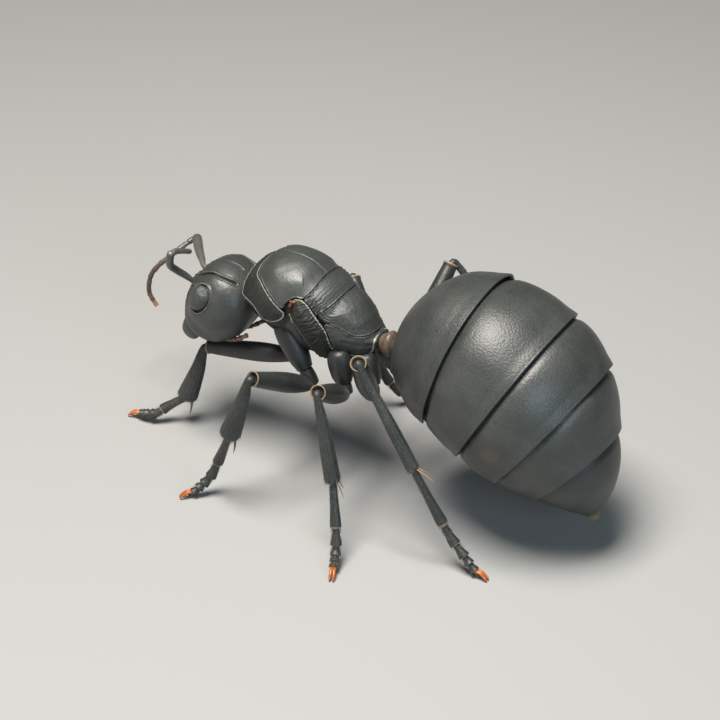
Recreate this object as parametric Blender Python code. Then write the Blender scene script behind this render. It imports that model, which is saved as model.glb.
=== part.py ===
"""A carpenter ant queen that has shed her wings, standing at life size.

Lengths are in millimetres until place() turns them into metres. Every point is given as forward, left
and up from the middle of the waist. The ant looks towards -X and her left side is at -Y.
"""

import math

import bmesh
import bpy
from mathutils import Matrix, Vector

MM = 0.001
WAIST_HEIGHT = 5.6
GAP = 0.03
THINNEST = 0.25  # least half thickness of a leg or feeler
SIDES = (("left", 1), ("right", -1))

for old in list(bpy.data.objects):
    bpy.data.objects.remove(old)


# Finishes


def finish(name, colour, roughness):
    material = bpy.data.materials.new(name)
    material.use_nodes = True
    shader = material.node_tree.nodes["Principled BSDF"]
    shader.inputs["Base Color"].default_value = (*colour, 1.0)
    shader.inputs["Roughness"].default_value = roughness
    return material


SHELL = finish("black_cuticle", (0.030, 0.034, 0.036), 0.40)
EYE = finish("eye_cuticle", (0.020, 0.024, 0.028), 0.25)
MOUTH = finish("brown_cuticle", (0.120, 0.060, 0.035), 0.45)
WAIST = finish("tan_cuticle", (0.300, 0.200, 0.150), 0.50)
HORN = finish("orange_claw", (0.550, 0.250, 0.080), 0.40)


# Shapes


def place(forward, left, up):
    return Vector((-forward, -left, up + WAIST_HEIGHT)) * MM


def add_piece(name, mesh_data, material):
    """Makes one closed piece from (points, faces) and shades it smooth."""
    mesh = bpy.data.meshes.new(name)
    mesh.from_pydata(*mesh_data)
    build = bmesh.new()
    build.from_mesh(mesh)
    bmesh.ops.recalc_face_normals(build, faces=build.faces)
    build.to_mesh(mesh)
    build.free()
    mesh.materials.append(material)
    mesh.shade_smooth()
    mesh.set_sharp_from_angle(angle=math.radians(50))
    piece = bpy.data.objects.new(name, mesh)
    bpy.context.scene.collection.objects.link(piece)
    return piece


def loft(rings):
    """Joins rings of equal length into one skin and closes each end with a fan."""
    count = len(rings[0])
    points = [point for ring in rings for point in ring]
    faces = []
    for first in range(0, count * (len(rings) - 1), count):
        for i in range(count):
            j = (i + 1) % count
            faces.append((first + i, first + j, first + count + j, first + count + i))
    for ring, first in ((rings[0], 0), (rings[-1], count * (len(rings) - 1))):
        points.append(sum(ring, Vector()) / count)
        faces += [(first + i, first + (i + 1) % count, len(points) - 1) for i in range(count)]
    return points, [], faces


def section(centre, across, over, half_width, top, bottom, count, power=2.0):
    """A superellipse ring: half_width across, top above the centre and bottom below it."""
    ring = []
    for i in range(count):
        angle = 2 * math.pi * i / count
        cos, sin = math.cos(angle), math.sin(angle)
        x = math.copysign(abs(cos) ** (2 / power), cos) * half_width
        y = math.copysign(abs(sin) ** (2 / power), sin) * (top if sin > 0 else bottom)
        ring.append(centre + (across * x + over * y) * MM)
    return ring


def curve_at(points, fraction):
    """A smooth curve through the points, read at a fraction of its run from first to last."""
    spans = len(points) - 1
    where = min(fraction, 1.0) * spans
    i = min(int(where), spans - 1)
    t = where - i
    before = points[max(i - 1, 0)]
    after = points[min(i + 2, spans)]
    start, end = points[i], points[i + 1]
    return (
        start * (2 * t**3 - 3 * t**2 + 1)
        + end * (3 * t**2 - 2 * t**3)
        + (end - before) * (0.5 * (t**3 - 2 * t**2 + t))
        + (after - start) * (0.5 * (t**3 - t**2))
    )


def stations(table, count):
    """Rows of a table read evenly along a smooth curve through them."""
    rows = [Vector(row) for row in table]
    return [curve_at(rows, i / (count - 1)) for i in range(count)]


def tube(points, profile, count=8, flatten=1.0, across=None):
    """A limb along the points, in metres. The profile is (fraction of the length, half thickness)."""
    rings = []
    for fraction, half in profile:
        here = curve_at(points, fraction)
        ahead = curve_at(points, min(fraction + 0.02, 1.0)) - curve_at(points, max(fraction - 0.02, 0.0))
        ahead.normalize()
        if across is None:
            across = ahead.cross(Vector((0, 0, 1)))
        across = (across - ahead * across.dot(ahead)).normalized()
        over = across.cross(ahead)
        rings.append(section(here, across, over, half, half * flatten, half * flatten, count))
    return loft(rings)


def trim(start, end, from_start, from_end):
    """The straight run between two joints, short of each by so many millimetres."""
    along = (end - start).normalized() * MM
    return [start + along * from_start, end - along * from_end]


def press_flat(piece):
    """Squares off what would dip into the floor, which leaves the foot a small flat to stand on."""
    for vertex in piece.data.vertices:
        vertex.co.z = max(vertex.co.z, 0.0)


def cut(host, cutter, operation="DIFFERENCE"):
    modifier = host.modifiers.new(operation.lower() + "_" + cutter.name, "BOOLEAN")
    modifier.operation = operation
    modifier.object = cutter
    cutter.hide_render = True
    cutter.display_type = "WIRE"


def nest(host, guest):
    """Sinks the guest into the host, in a hollow of the guest's own shape that is wider by the gap."""
    cutter = bpy.data.objects.new(guest.name + "_hollow", guest.data.copy())
    bpy.context.scene.collection.objects.link(cutter)
    grown = [vertex.co + vertex.normal * GAP * MM for vertex in cutter.data.vertices]
    for vertex, point in zip(cutter.data.vertices, grown):
        vertex.co = point
    cut(host, cutter)


# Trunk: one barrel of cross-sections, parted into its plates along their seams

TRUNK = (  # forward, height of the widest line, half width, rise above that line, drop below it
    (5.08, 0.95, 0.86, 0.56, 0.50),
    (4.95, 0.95, 1.18, 0.80, 0.80),
    (4.62, 0.95, 1.34, 1.07, 1.05),
    (4.30, 0.95, 1.42, 1.36, 1.30),
    (3.80, 0.95, 1.50, 1.50, 1.55),
    (3.10, 0.95, 1.48, 1.45, 1.70),
    (2.40, 0.85, 1.38, 1.28, 1.68),
    (2.00, 0.78, 1.24, 1.12, 1.58),
    (1.60, 0.68, 1.08, 0.95, 1.45),
    (1.00, 0.45, 0.86, 0.74, 1.12),
    (0.55, 0.30, 0.64, 0.40, 0.75),
    (0.28, 0.18, 0.42, 0.20, 0.40),
)
TRUNK_ROUNDNESS = 2.15
OUTSIDE = 3.0  # further from the waist line than any part of the trunk

# Seams on the flank, each as (forward, up) points
PRONOTUM_LOBE = ((3.15, 1.11), (3.12, 0.93), (3.35, 0.68), (3.70, 0.53), (4.05, 0.57), (4.40, 0.92), (4.80, 1.07))
PRONOTUM_REAR = ((4.62, 2.20), (4.52, 1.95), (4.22, 1.84), (3.90, 1.65), (3.50, 1.34), (3.15, 1.11))
SCUTUM_EDGE = ((3.15, 1.11), (3.12, 1.38), (2.87, 1.62), (2.57, 1.62))
SCUTUM_REAR = ((2.57, 1.62), (2.36, 1.90), (2.30, 2.15))
SCUTELLUM_FOOT = ((2.57, 1.62), (2.33, 1.46), (2.06, 1.14))
SCUTELLUM_REAR = ((1.56, 1.85), (1.56, 1.62), (1.73, 1.40), (2.06, 1.14))
PROPODEUM_FOOT = ((2.06, 1.14), (1.86, 0.95), (1.54, 0.83), (1.26, 0.71), (0.97, 0.55), (0.70, 0.48), (0.10, 0.50))
STRIP_FRONT = ((3.12, 1.38), (3.00, 1.14), (2.82, 0.88), (2.58, 0.61), (2.45, 0.28), (2.32, -0.20))
STRIP_REAR = ((2.06, 1.14), (1.79, 0.65), (1.69, 0.10), (1.60, -0.35))


def section_of_trunk(row, count):
    forward, height, half_width, rise, drop = row
    side, up = Vector((0, -1, 0)), Vector((0, 0, 1))
    return section(place(forward, 0, height), side, up, half_width, rise, drop, count, TRUNK_ROUNDNESS)


def inset(outline, by):
    """Draws a closed outline in by an even margin. It runs anticlockwise seen with forward to the right."""
    inner = []
    for i, here in enumerate(outline):
        back = Vector(here) - Vector(outline[i - 1])
        on = Vector(outline[(i + 1) % len(outline)]) - Vector(here)
        normals = [Vector((-run.y, run.x)).normalized() for run in (back, on)]
        middle = (normals[0] + normals[1]).normalized()
        inner.append(Vector(here) + middle * by / max(middle.dot(normals[0]), 0.5))
    return inner


def plate(name, *edges):
    """The part of the trunk inside an outline on the flank, right through from side to side."""
    outline = []
    for edge in edges:
        outline += [point for point in edge if point not in outline]
    area = sum(a[0] * b[1] - b[0] * a[1] for a, b in zip(outline, outline[1:] + outline[:1]))
    if area < 0:
        outline.reverse()
    inner = inset(outline, GAP / 2)
    walls = [[place(x, reach, z) for x, z in inner] for reach in (-OUTSIDE, OUTSIDE)]
    count = len(inner)
    faces = [(i, (i + 1) % count, (i + 1) % count + count, i + count) for i in range(count)]
    faces += [tuple(range(count)), tuple(range(count, 2 * count))]
    mould = add_piece(name + "_mould", (walls[0] + walls[1], [], faces), SHELL)
    piece = add_piece(name, loft([section_of_trunk(row, 28) for row in stations(TRUNK, 15)]), SHELL)
    cut(piece, mould, "INTERSECT")
    return piece


TOP_FRONT, TOP_REAR = (6.0, OUTSIDE), (0.0, OUTSIDE)
SCUTUM_TOP_FRONT, SCUTUM_TOP_REAR, SCUTELLUM_TOP_REAR = (4.62, OUTSIDE), (2.30, OUTSIDE), (1.56, OUTSIDE)
pronotum = plate("pronotum", PRONOTUM_LOBE, [(6.0, 1.12), TOP_FRONT, SCUTUM_TOP_FRONT], PRONOTUM_REAR)
mesoscutum = plate("mesoscutum", PRONOTUM_REAR, SCUTUM_EDGE, SCUTUM_REAR, [SCUTUM_TOP_REAR, SCUTUM_TOP_FRONT])
scutellum = plate(
    "scutellum", SCUTUM_REAR[::-1], SCUTELLUM_FOOT, SCUTELLUM_REAR[::-1], [SCUTELLUM_TOP_REAR, SCUTUM_TOP_REAR]
)
propodeum = plate(
    "propodeum", SCUTELLUM_REAR, PROPODEUM_FOOT, [(0.0, 0.50), TOP_REAR, SCUTELLUM_TOP_REAR]
)
mesopleura = plate(
    "mesopleura", STRIP_FRONT[::-1], SCUTUM_EDGE[1:], SCUTELLUM_FOOT, STRIP_REAR, [(1.6, -OUTSIDE), (2.32, -OUTSIDE)]
)
metapleura = plate(
    "metapleura", STRIP_REAR[::-1], PROPODEUM_FOOT, [(0.0, 0.50), (0.0, -OUTSIDE), (1.6, -OUTSIDE)]
)
breast = plate(
    "breast", PRONOTUM_LOBE[::-1], SCUTUM_EDGE[:2], STRIP_FRONT, [(2.32, -OUTSIDE), (6.0, -OUTSIDE), (6.0, 1.12)]
)


# Waist: a low rounded node between the trunk and the gaster

NODE = (  # forward, height of the middle, half width, half height
    (0.24, 0.08, 0.26, 0.24),
    (0.08, 0.06, 0.34, 0.34),
    (-0.08, 0.08, 0.42, 0.44),
    (-0.22, 0.06, 0.38, 0.38),
    (-0.41, 0.06, 0.28, 0.26),
)
petiole = add_piece(
    "petiole",
    loft([
        section(place(x, 0, z), Vector((0, -1, 0)), Vector((0, 0, 1)), width, height, height, 12)
        for x, z, width, height in NODE
    ]),
    WAIST,
)


# Gaster: five plates in a row, each rim standing a lip proud of the plate behind it

TERGITES = (  # each a run of rings: forward, up, degrees that the ring leans back, radius
    ((-0.44, 0.10, 0, 0.50), (-0.62, 0.30, 2, 1.14), (-1.05, 0.54, 5, 1.78), (-1.80, 0.74, 9, 2.38),
     (-2.40, 0.80, 13, 2.64), (-2.97, 0.76, 16, 2.74)),
    ((-2.97, 0.76, 16, 2.66), (-3.55, 0.60, 20, 2.87), (-4.16, 0.33, 24, 2.98), (-4.75, 0.00, 29, 2.98)),
    ((-4.75, 0.00, 29, 2.89), (-5.24, -0.30, 31, 2.93), (-5.68, -0.65, 33, 2.85), (-6.10, -1.02, 35, 2.66)),
    ((-6.10, -1.02, 35, 2.58), (-6.44, -1.38, 37, 2.44), (-6.74, -1.80, 40, 2.19), (-7.00, -2.26, 43, 1.86)),
    ((-7.00, -2.26, 43, 1.78), (-7.38, -2.90, 52, 1.37), (-7.62, -3.50, 58, 0.84), (-7.76, -3.95, 62, 0.36),
     (-7.80, -4.20, 64, 0.12)),
)
GASTER_ROUNDNESS = 2.1

for number, run in enumerate(TERGITES, 1):
    rings = []
    for i, (forward, up, lean, radius) in enumerate(run):
        tilt = math.radians(lean)
        over = Vector((math.sin(tilt), 0, math.cos(tilt)))
        back = Vector((math.cos(tilt), 0, -math.sin(tilt))) * MM * GAP
        centre = place(forward, 0, up) + (back if i == 0 else Vector())
        rings.append(section(centre, Vector((0, -1, 0)), over, radius, radius, radius, 28, GASTER_ROUNDNESS))
    add_piece("tergite_%d" % number, loft(rings), SHELL)


# Head: a rounded capsule whose long axis points down and forward, with a narrower mouth end

HEAD_CENTRE = place(6.38, 0, -0.15)
HEAD_PITCH = math.radians(58)
HEAD_LENGTH, HEAD_WIDTH, HEAD_FACE, HEAD_THROAT = 1.58, 1.46, 1.30, 1.20  # half sizes
HEAD_AXIS = Vector((-math.cos(HEAD_PITCH), 0, -math.sin(HEAD_PITCH)))
FACE = Vector((-math.sin(HEAD_PITCH), 0, math.cos(HEAD_PITCH)))
LEFT = Vector((0, -1, 0))


def in_head(along, left, out):
    """A point from the head's middle: along its axis to the mouth, to the left, and out of the face."""
    return HEAD_CENTRE + (HEAD_AXIS * along + LEFT * left + FACE * out) * MM


def ball(centre, axes, sizes, rings=7, count=12):
    """An egg of three half sizes along three axes, the first axis through its poles."""
    pole, across, over = axes
    turns = [math.pi * (i + 0.5) / rings for i in range(rings)]
    return loft([
        section(
            centre + pole * sizes[0] * -math.cos(turn) * MM,
            across, over,
            sizes[1] * math.sin(turn), sizes[2] * math.sin(turn), sizes[2] * math.sin(turn), count,
        )
        for turn in turns
    ])


capsule = []
for i in range(11):
    along = -math.cos(math.pi * (i + 0.35) / 10.7)
    swell = (1 - abs(along) ** 2.3) ** (1 / 2.3)
    narrow = 1 - 0.24 * max(along, 0) ** 1.3
    capsule.append(section(
        in_head(along * HEAD_LENGTH, 0, 0), LEFT, FACE,
        HEAD_WIDTH * swell * narrow, HEAD_FACE * swell, HEAD_THROAT * swell, 22, 2.2,
    ))
head = add_piece("head", loft(capsule), SHELL)
nest(head, pronotum)
stalk = [place(4.60, 0, 0.55), place(5.15, 0, 0.42), place(5.65, 0, 0.22)]
neck = add_piece("neck", tube(stalk, ((0, 0.52), (0.5, 0.54), (1, 0.44)), 12, 0.75, LEFT), SHELL)
nest(head, neck)
cut(breast, neck, "UNION")

EYE_SIZES = (0.34, 0.55, 0.42)  # half sizes: outward, along the head, across it
for side, sign in SIDES:
    outward = (LEFT * sign * 0.93 + FACE * 0.36).normalized()
    along = (HEAD_AXIS - outward * HEAD_AXIS.dot(outward)).normalized()
    eye = add_piece(
        "eye_" + side,
        ball(in_head(-0.34, 1.24 * sign, 0.56), (outward, along, outward.cross(along)), EYE_SIZES),
        EYE,
    )
    nest(head, eye)
    jaw = [in_head(1.00, 0.74 * sign, 0.20), in_head(1.45, 0.78 * sign, 0.34), in_head(1.80, 0.58 * sign, 0.40),
           in_head(2.02, 0.26 * sign, 0.34)]
    blade = ((0, 0.25), (0.25, 0.28), (0.55, 0.27), (0.8, 0.25), (1, 0.16))
    mandible = add_piece("mandible_" + side, tube(jaw, blade, 10, 1.45, LEFT), SHELL)
    nest(head, mandible)


# Feelers: a long first joint, an elbow, and a whip of short joints

SCAPE = {"left": ((7.34, 0.50, 0.44), (7.55, 0.70, 0.80), (7.74, 1.28, 1.48), (7.44, 1.67, 2.24)),
         "right": ((7.38, -0.50, 0.44), (7.72, -0.66, 0.62), (8.44, -1.42, 0.48), (9.13, -2.31, 0.38))}
WHIP = {"left": ((7.50, 1.48, 2.12), (7.75, 0.73, 1.73), (8.07, 0.04, 1.29), (8.25, -0.45, 0.98), (8.44, -0.82, 0.73)),
        "right": ((9.20, -2.14, 0.28), (9.70, -1.39, -0.13), (10.14, -1.00, -0.70), (10.24, -0.83, -1.34),
                  (9.98, -0.83, -1.97))}
for side, sign in SIDES:
    path = [place(*point) for point in SCAPE[side]]
    scape = add_piece("scape_" + side, tube(path, ((0, 0.20), (0.3, THINNEST), (0.7, THINNEST), (1, THINNEST))), SHELL)
    nest(head, scape)
    path = [place(*point) for point in WHIP[side]]
    profile = [(i / 9, THINNEST if i < 9 else 0.15) for i in range(10)]
    whip = add_piece("funiculus_" + side, tube(path, profile), MOUTH)
    nest(whip, scape)

# Mouth feelers, swept back under the head

for side, sign in SIDES:
    path = [place(6.60, 0.32 * sign, -1.50), place(5.95, 0.46 * sign, -1.42), place(5.25, 0.56 * sign, -0.98)]
    palp = add_piece("palp_" + side, tube(path, ((0, 0.20), (0.5, 0.20), (1, 0.14)), 6), MOUTH)
    nest(head, palp)


# Legs

LEGS = {  # hip, end of the hip joint, end of the second joint, knee, ankle, then the foot down to the floor
    "front_left": ((3.60, 0.90, 0.30), (2.62, 1.02, -1.22), (2.30, 1.06, -1.76), (2.95, 3.90, -0.10),
                   (3.90, 3.85, -2.70), ((4.54, 3.60, -4.10), (4.85, 3.72, -4.85), (5.28, 4.11, -5.40))),
    "front_right": ((3.90, -0.90, 0.20), (3.75, -0.55, -1.30), (3.65, -0.30, -1.78), (7.19, 0.17, -2.25),
                    (7.96, 0.46, -4.50), ((8.57, 0.79, -4.90), (8.95, 1.05, -5.20), (9.56, 1.11, -5.38))),
    "middle_left": ((1.45, 0.82, -0.20), (1.12, 1.00, -1.30), (0.98, 1.12, -1.66), (0.42, 3.90, 0.20),
                    (-0.30, 4.15, -2.90), ((-0.72, 4.69, -4.40), (-0.86, 4.95, -5.05), (-1.00, 5.32, -5.38))),
    "middle_right": ((1.45, -0.82, -0.20), (1.12, -1.00, -1.30), (1.05, -1.12, -1.66), (3.02, -2.86, 0.28),
                     (2.65, -3.57, -2.83), ((2.20, -3.90, -4.30), (1.80, -4.30, -5.00), (1.25, -4.80, -5.38))),
    "hind_left": ((0.62, 0.52, -0.25), (0.16, 0.76, -1.25), (0.08, 0.92, -1.60), (-0.75, 3.30, 1.40),
                  (-2.90, 3.40, -2.00), ((-3.99, 3.11, -4.20), (-4.60, 3.13, -4.90), (-5.09, 3.17, -5.38))),
    "hind_right": ((0.62, -0.52, -0.25), (0.16, -0.76, -1.25), (0.08, -0.92, -1.60), (-0.30, -3.90, 1.30),
                   (-3.10, -4.50, -1.50), ((-4.20, -4.75, -3.80), (-4.60, -4.85, -4.80), (-4.90, -4.90, -5.38))),
}
HIP_JOINT = ((0, 0.26), (0.2, 0.40), (0.5, 0.42), (0.8, 0.34), (1, 0.26))
SECOND_JOINT = ((0, 0.24), (0.5, 0.27), (1, 0.25))
FEMUR = ((0, 0.25), (0.12, 0.27), (0.45, 0.31), (0.8, 0.28), (0.95, 0.28), (1, 0.25))
TIBIA = ((0, 0.25), (0.3, 0.25), (0.6, 0.28), (0.85, 0.33), (1, 0.28))
FOOT_LENGTHS = (0.46, 0.64, 0.78, 0.88, 1.0)  # where each of the five foot joints ends
CLAW_REACH, CLAW_SPREAD = 0.66, 0.20
HOSTS = {"front": (breast,), "middle": (mesopleura, metapleura), "hind": (metapleura,)}

for name, (hip, hip_end, second_end, knee, ankle, foot) in LEGS.items():
    hip, hip_end, second_end, knee, ankle = [place(*point) for point in (hip, hip_end, second_end, knee, ankle)]
    foot = [place(*point) for point in foot]
    coxa = add_piece("coxa_" + name, tube(trim(hip, hip_end, 0, 0.04), HIP_JOINT, 10), SHELL)
    for host in HOSTS[name.split("_")[0]]:
        nest(host, coxa)
    add_piece("trochanter_" + name, tube(trim(hip_end, second_end, 0, 0.02), SECOND_JOINT), SHELL)
    add_piece("femur_" + name, tube(trim(second_end, knee, 0.31, 0.05), FEMUR), SHELL)
    add_piece("tibia_" + name, tube(trim(knee, ankle, 0.36, 0.02), TIBIA), SHELL)
    profile = [(0, 0.25)]
    for start, end in zip((0,) + FOOT_LENGTHS, FOOT_LENGTHS):
        profile += [(start + 0.3 * (end - start), 0.24), (end, 0.28 if end < 1 else 0.24)]
    path = [ankle + (foot[0] - ankle).normalized() * 0.12 * MM, *foot]
    tarsus = add_piece("tarsus_" + name, tube(path, profile), SHELL)
    press_flat(tarsus)
    ahead = foot[-1] - foot[-2]
    ahead.z = 0.0
    ahead.normalize()
    aside = ahead.cross(Vector((0, 0, 1)))
    sole = foot[-1] + (foot[-1] - foot[-2]).normalized() * 0.06 * MM
    pad = [sole, sole + ahead * 0.24 * MM]
    claws = add_piece("claws_" + name, tube(pad, ((0, 0.22), (0.5, 0.24), (1, 0.18))), HORN)
    press_flat(claws)
    for turn in (1, -1):
        root = sole + (ahead * 0.10 + aside * 0.06 * turn) * MM
        bend = sole + (ahead * 0.38 + aside * CLAW_SPREAD * turn) * MM
        tip = sole + (ahead * CLAW_REACH + aside * CLAW_SPREAD * turn) * MM
        bend.z = 0.22 * MM
        tip.z = 0.13 * MM
        prong = add_piece("prong", tube([root, bend, tip], ((0, 0.12), (0.5, 0.13), (1, 0.08)), 6), HORN)
        cut(claws, prong, "UNION")


# The ant stands with the middle of her outline's box over the origin

bpy.context.view_layer.update()
graph = bpy.context.evaluated_depsgraph_get()
pieces = [piece for piece in bpy.context.scene.objects if not piece.hide_render]
corners = [Vector(corner) for piece in pieces for corner in piece.evaluated_get(graph).bound_box]
low = [min(corner[axis] for corner in corners) for axis in range(3)]
high = [max(corner[axis] for corner in corners) for axis in range(3)]
ant = bpy.data.objects.new("ant", None)
bpy.context.scene.collection.objects.link(ant)
for piece in list(bpy.context.scene.objects):
    if piece is not ant:
        piece.parent = ant
ant.location = (-(low[0] + high[0]) / 2, -(low[1] + high[1]) / 2, -low[2])
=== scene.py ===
"""A carpenter ant queen that has shed her wings, dressed over her CAD solids.

Points are in millimetres as (forward, left, up) from the middle of the waist until add_piece() sets them
down in metres. The ant looks towards -X and her left side is at -Y.
"""

import math

import bmesh
import bpy
import numpy as np
from mathutils import Matrix, Vector


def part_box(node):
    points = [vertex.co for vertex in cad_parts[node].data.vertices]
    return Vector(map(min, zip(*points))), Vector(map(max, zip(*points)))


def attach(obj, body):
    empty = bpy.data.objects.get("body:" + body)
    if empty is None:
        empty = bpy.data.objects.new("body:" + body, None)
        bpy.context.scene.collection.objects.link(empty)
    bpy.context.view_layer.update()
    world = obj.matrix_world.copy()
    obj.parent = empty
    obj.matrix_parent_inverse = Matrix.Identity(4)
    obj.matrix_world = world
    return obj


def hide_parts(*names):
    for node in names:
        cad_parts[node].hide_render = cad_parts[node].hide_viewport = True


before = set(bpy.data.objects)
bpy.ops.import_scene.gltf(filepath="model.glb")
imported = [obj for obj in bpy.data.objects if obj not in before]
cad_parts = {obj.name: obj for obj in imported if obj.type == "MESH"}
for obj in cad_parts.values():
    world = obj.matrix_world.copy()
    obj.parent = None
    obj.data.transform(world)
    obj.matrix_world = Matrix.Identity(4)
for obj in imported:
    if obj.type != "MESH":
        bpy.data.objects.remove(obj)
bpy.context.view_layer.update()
scene = bpy.context.scene


# Where she stands: the waist's solid fixes every other piece. It reaches a little further back than
# forward, and its widest line lies a little above the waist's middle.

MM = 0.001
WAIST_FRONT, WAIST_RISE = 0.24, 0.08  # from the solid's front and middle to the waist's own middle
SIDES = (("left", 1), ("right", -1))
low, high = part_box("petiole")
WAIST = np.array([
    low.x / MM + WAIST_FRONT, (low.y + high.y) / 2 / MM, (low.z + high.z) / 2 / MM - WAIST_RISE
])
FLOOR = -WAIST[2]  # the floor's level, up from the waist


def in_world(points):
    """Points in the ant's own millimetres, as metres in the frame."""
    return (WAIST + np.asarray(points, float) * (-1, -1, 1)) * MM


# Floor, light and camera: a pale table under a wide overhead softbox, with a cool fill from behind and
# a warm one from the front. The lens is long, as for a small specimen.

FLOOR_COLOUR, SKY_COLOUR, SKY_STRENGTH = "#989998", "#E4E8EC", 0.08
AZIMUTH, ELEVATION = math.radians(30), math.radians(33)
DISTANCE, LENS, SENSOR = 75.0, 112.5, 36.0  # mm: the frame is 24 mm wide where the ant stands
NEAREST, FURTHEST = 0.005, 10.0  # metres: all that the camera takes in
AIM_LEFT_OF_WAIST, AIM_BELOW_WAIST = 0.933, 0.5  # mm, to the left and down as the camera looks
TABLE_REACH, TABLE_DROP = 2.0, 0.00001  # metres: half its width, and how far it lies under the claws


def linear(code):
    """An sRGB hex colour as linear red, green, blue and a full alpha."""
    parts = [int(code[i : i + 2], 16) / 255 for i in (1, 3, 5)]
    return (*(p / 12.92 if p <= 0.04045 else ((p + 0.055) / 1.055) ** 2.4 for p in parts), 1.0)


def add_node(tree, kind, values=(), links=(), **settings):
    """Adds a node with its settings, its inputs' own values, and the links into it."""
    made = tree.nodes.new(kind)
    for key, value in settings.items():
        setattr(made, key, value)
    for key, value in dict(values).items():
        made.inputs[key].default_value = value
    for key, socket in dict(links).items():
        tree.links.new(socket, made.inputs[key])
    return made


def new_finish(name):
    """An empty material with its Principled shader, ready for a pattern."""
    finish = bpy.data.materials.new(name)
    finish.use_nodes = True
    return finish, finish.node_tree, finish.node_tree.nodes["Principled BSDF"]


# Board under matt emulsion: even and without gloss, so that only her shadow shows on it.
painted_board, tree, shader = new_finish("painted_board")
shader.inputs["Base Color"].default_value = linear(FLOOR_COLOUR)
shader.inputs["Roughness"].default_value = 0.8

table = bpy.data.meshes.new("table_top")
table.from_pydata(
    [(x, y, -TABLE_DROP) for x, y in ((-1, -1), (1, -1), (1, 1), (-1, 1))], [], [(0, 1, 2, 3)]
)
table.transform(Matrix.Diagonal((TABLE_REACH, TABLE_REACH, 1, 1)))
table.materials.append(painted_board)
table_top = bpy.data.objects.new("table_top", table)
scene.collection.objects.link(table_top)

back = np.array([
    math.sin(AZIMUTH) * math.cos(ELEVATION), -math.cos(AZIMUTH) * math.cos(ELEVATION), math.sin(ELEVATION)
])
right = np.array([math.cos(AZIMUTH), math.sin(AZIMUTH), 0.0])
upward = np.cross(back, right)
aim = WAIST - right * AIM_LEFT_OF_WAIST - upward * AIM_BELOW_WAIST
lens = bpy.data.cameras.new("specimen_camera")
lens.lens, lens.sensor_width = LENS, SENSOR
lens.clip_start, lens.clip_end = NEAREST, FURTHEST
camera = bpy.data.objects.new("specimen_camera", lens)
camera.matrix_world = Matrix([
    [right[i], upward[i], back[i], (aim[i] + back[i] * DISTANCE) * MM] for i in range(3)
] + [[0, 0, 0, 1]])
scene.collection.objects.link(camera)
scene.camera = camera
scene.view_settings.view_transform = "Standard"

sky = bpy.data.worlds.new("studio_air")
sky.use_nodes = True
sky.node_tree.nodes["Background"].inputs["Color"].default_value = linear(SKY_COLOUR)
sky.node_tree.nodes["Background"].inputs["Strength"].default_value = SKY_STRENGTH
scene.world = sky

LIGHTS = (  # name, colour, watts, width in mm, place as forward, left, up
    ("overhead_softbox", "#FFF9F2", 0.200, 40, (4, 22, 90)),
    ("front_fill", "#FFF4EA", 0.012, 60, (40, 80, 28)),
    ("rear_fill", "#BCD8E8", 0.040, 40, (-75, 50, 35)),
)
for name, colour, watts, width, where in LIGHTS:
    light = bpy.data.lights.new(name, "AREA")
    light.color = linear(colour)[:3]
    light.energy = watts
    light.size = width * MM
    lamp = bpy.data.objects.new(name, light)
    spot = Vector(in_world(where))
    lamp.location = spot
    lamp.rotation_euler = (spot - Vector(in_world((0, 0, 0)))).to_track_quat("Z", "Y").to_euler()
    scene.collection.objects.link(lamp)


# Trunk: seven plates of black chitin over a tough dark brown membrane, drawn near black as painted shade.
# Each plate is a thin shell whose margin is rolled into a polished bead, some with a painted highlight on the
# crest, and the seams between them are open grooves.

TRUNK = (  # forward, height of the widest line, half width, rise above that line, drop below it
    (5.08, 0.95, 0.86, 0.56, 0.50),
    (4.95, 0.95, 1.20, 0.87, 0.80),
    (4.62, 0.95, 1.35, 1.11, 1.05),
    (4.30, 0.95, 1.42, 1.36, 1.30),
    (3.80, 0.95, 1.50, 1.50, 1.55),
    (3.10, 0.95, 1.48, 1.45, 1.70),
    (2.40, 0.85, 1.38, 1.28, 1.68),
    (2.00, 0.78, 1.24, 1.12, 1.58),
    (1.60, 0.68, 1.08, 0.95, 1.45),
    (1.00, 0.45, 0.86, 0.74, 1.12),
    (0.55, 0.30, 0.64, 0.40, 0.75),
    (0.28, 0.18, 0.42, 0.20, 0.40),
)
TRUNK_ROUNDNESS = 2.15  # 2 is an ellipse, more is squarer
OUTSIDE = 3.0  # further from the waist line than any part of the trunk

# Seams on the flank, each as (forward, up) points.
PRONOTUM_LOBE = (
    (3.15, 1.11), (3.12, 0.93), (3.35, 0.68), (3.70, 0.53), (4.05, 0.57), (4.40, 0.92), (4.80, 1.07)
)
PRONOTUM_REAR = ((4.62, 2.20), (4.52, 1.95), (4.22, 1.84), (3.90, 1.65), (3.50, 1.34), (3.15, 1.11))
SCUTUM_EDGE = ((3.15, 1.11), (3.12, 1.38), (2.87, 1.62), (2.57, 1.62))
SCUTUM_REAR = ((2.57, 1.62), (2.36, 1.90), (2.30, 2.15))
SCUTELLUM_FOOT = ((2.57, 1.62), (2.33, 1.46), (2.06, 1.14))
SCUTELLUM_REAR = ((1.56, 1.85), (1.56, 1.62), (1.73, 1.40), (2.06, 1.14))
PROPODEUM_FOOT = (
    (2.06, 1.14), (1.86, 0.95), (1.54, 0.83), (1.26, 0.71), (0.97, 0.55), (0.70, 0.48), (0.10, 0.50)
)
STRIP_FRONT = ((3.12, 1.38), (3.10, 1.14), (2.95, 0.86), (2.72, 0.58), (2.55, 0.26), (2.40, -0.20))
STRIP_REAR = ((2.06, 1.14), (1.74, 0.65), (1.62, 0.10), (1.53, -0.35))
COLLAR_FRONT = ((4.97, 1.15), (5.00, 1.60), (5.00, OUTSIDE))
TOP_REAR = (0.0, OUTSIDE)
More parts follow.
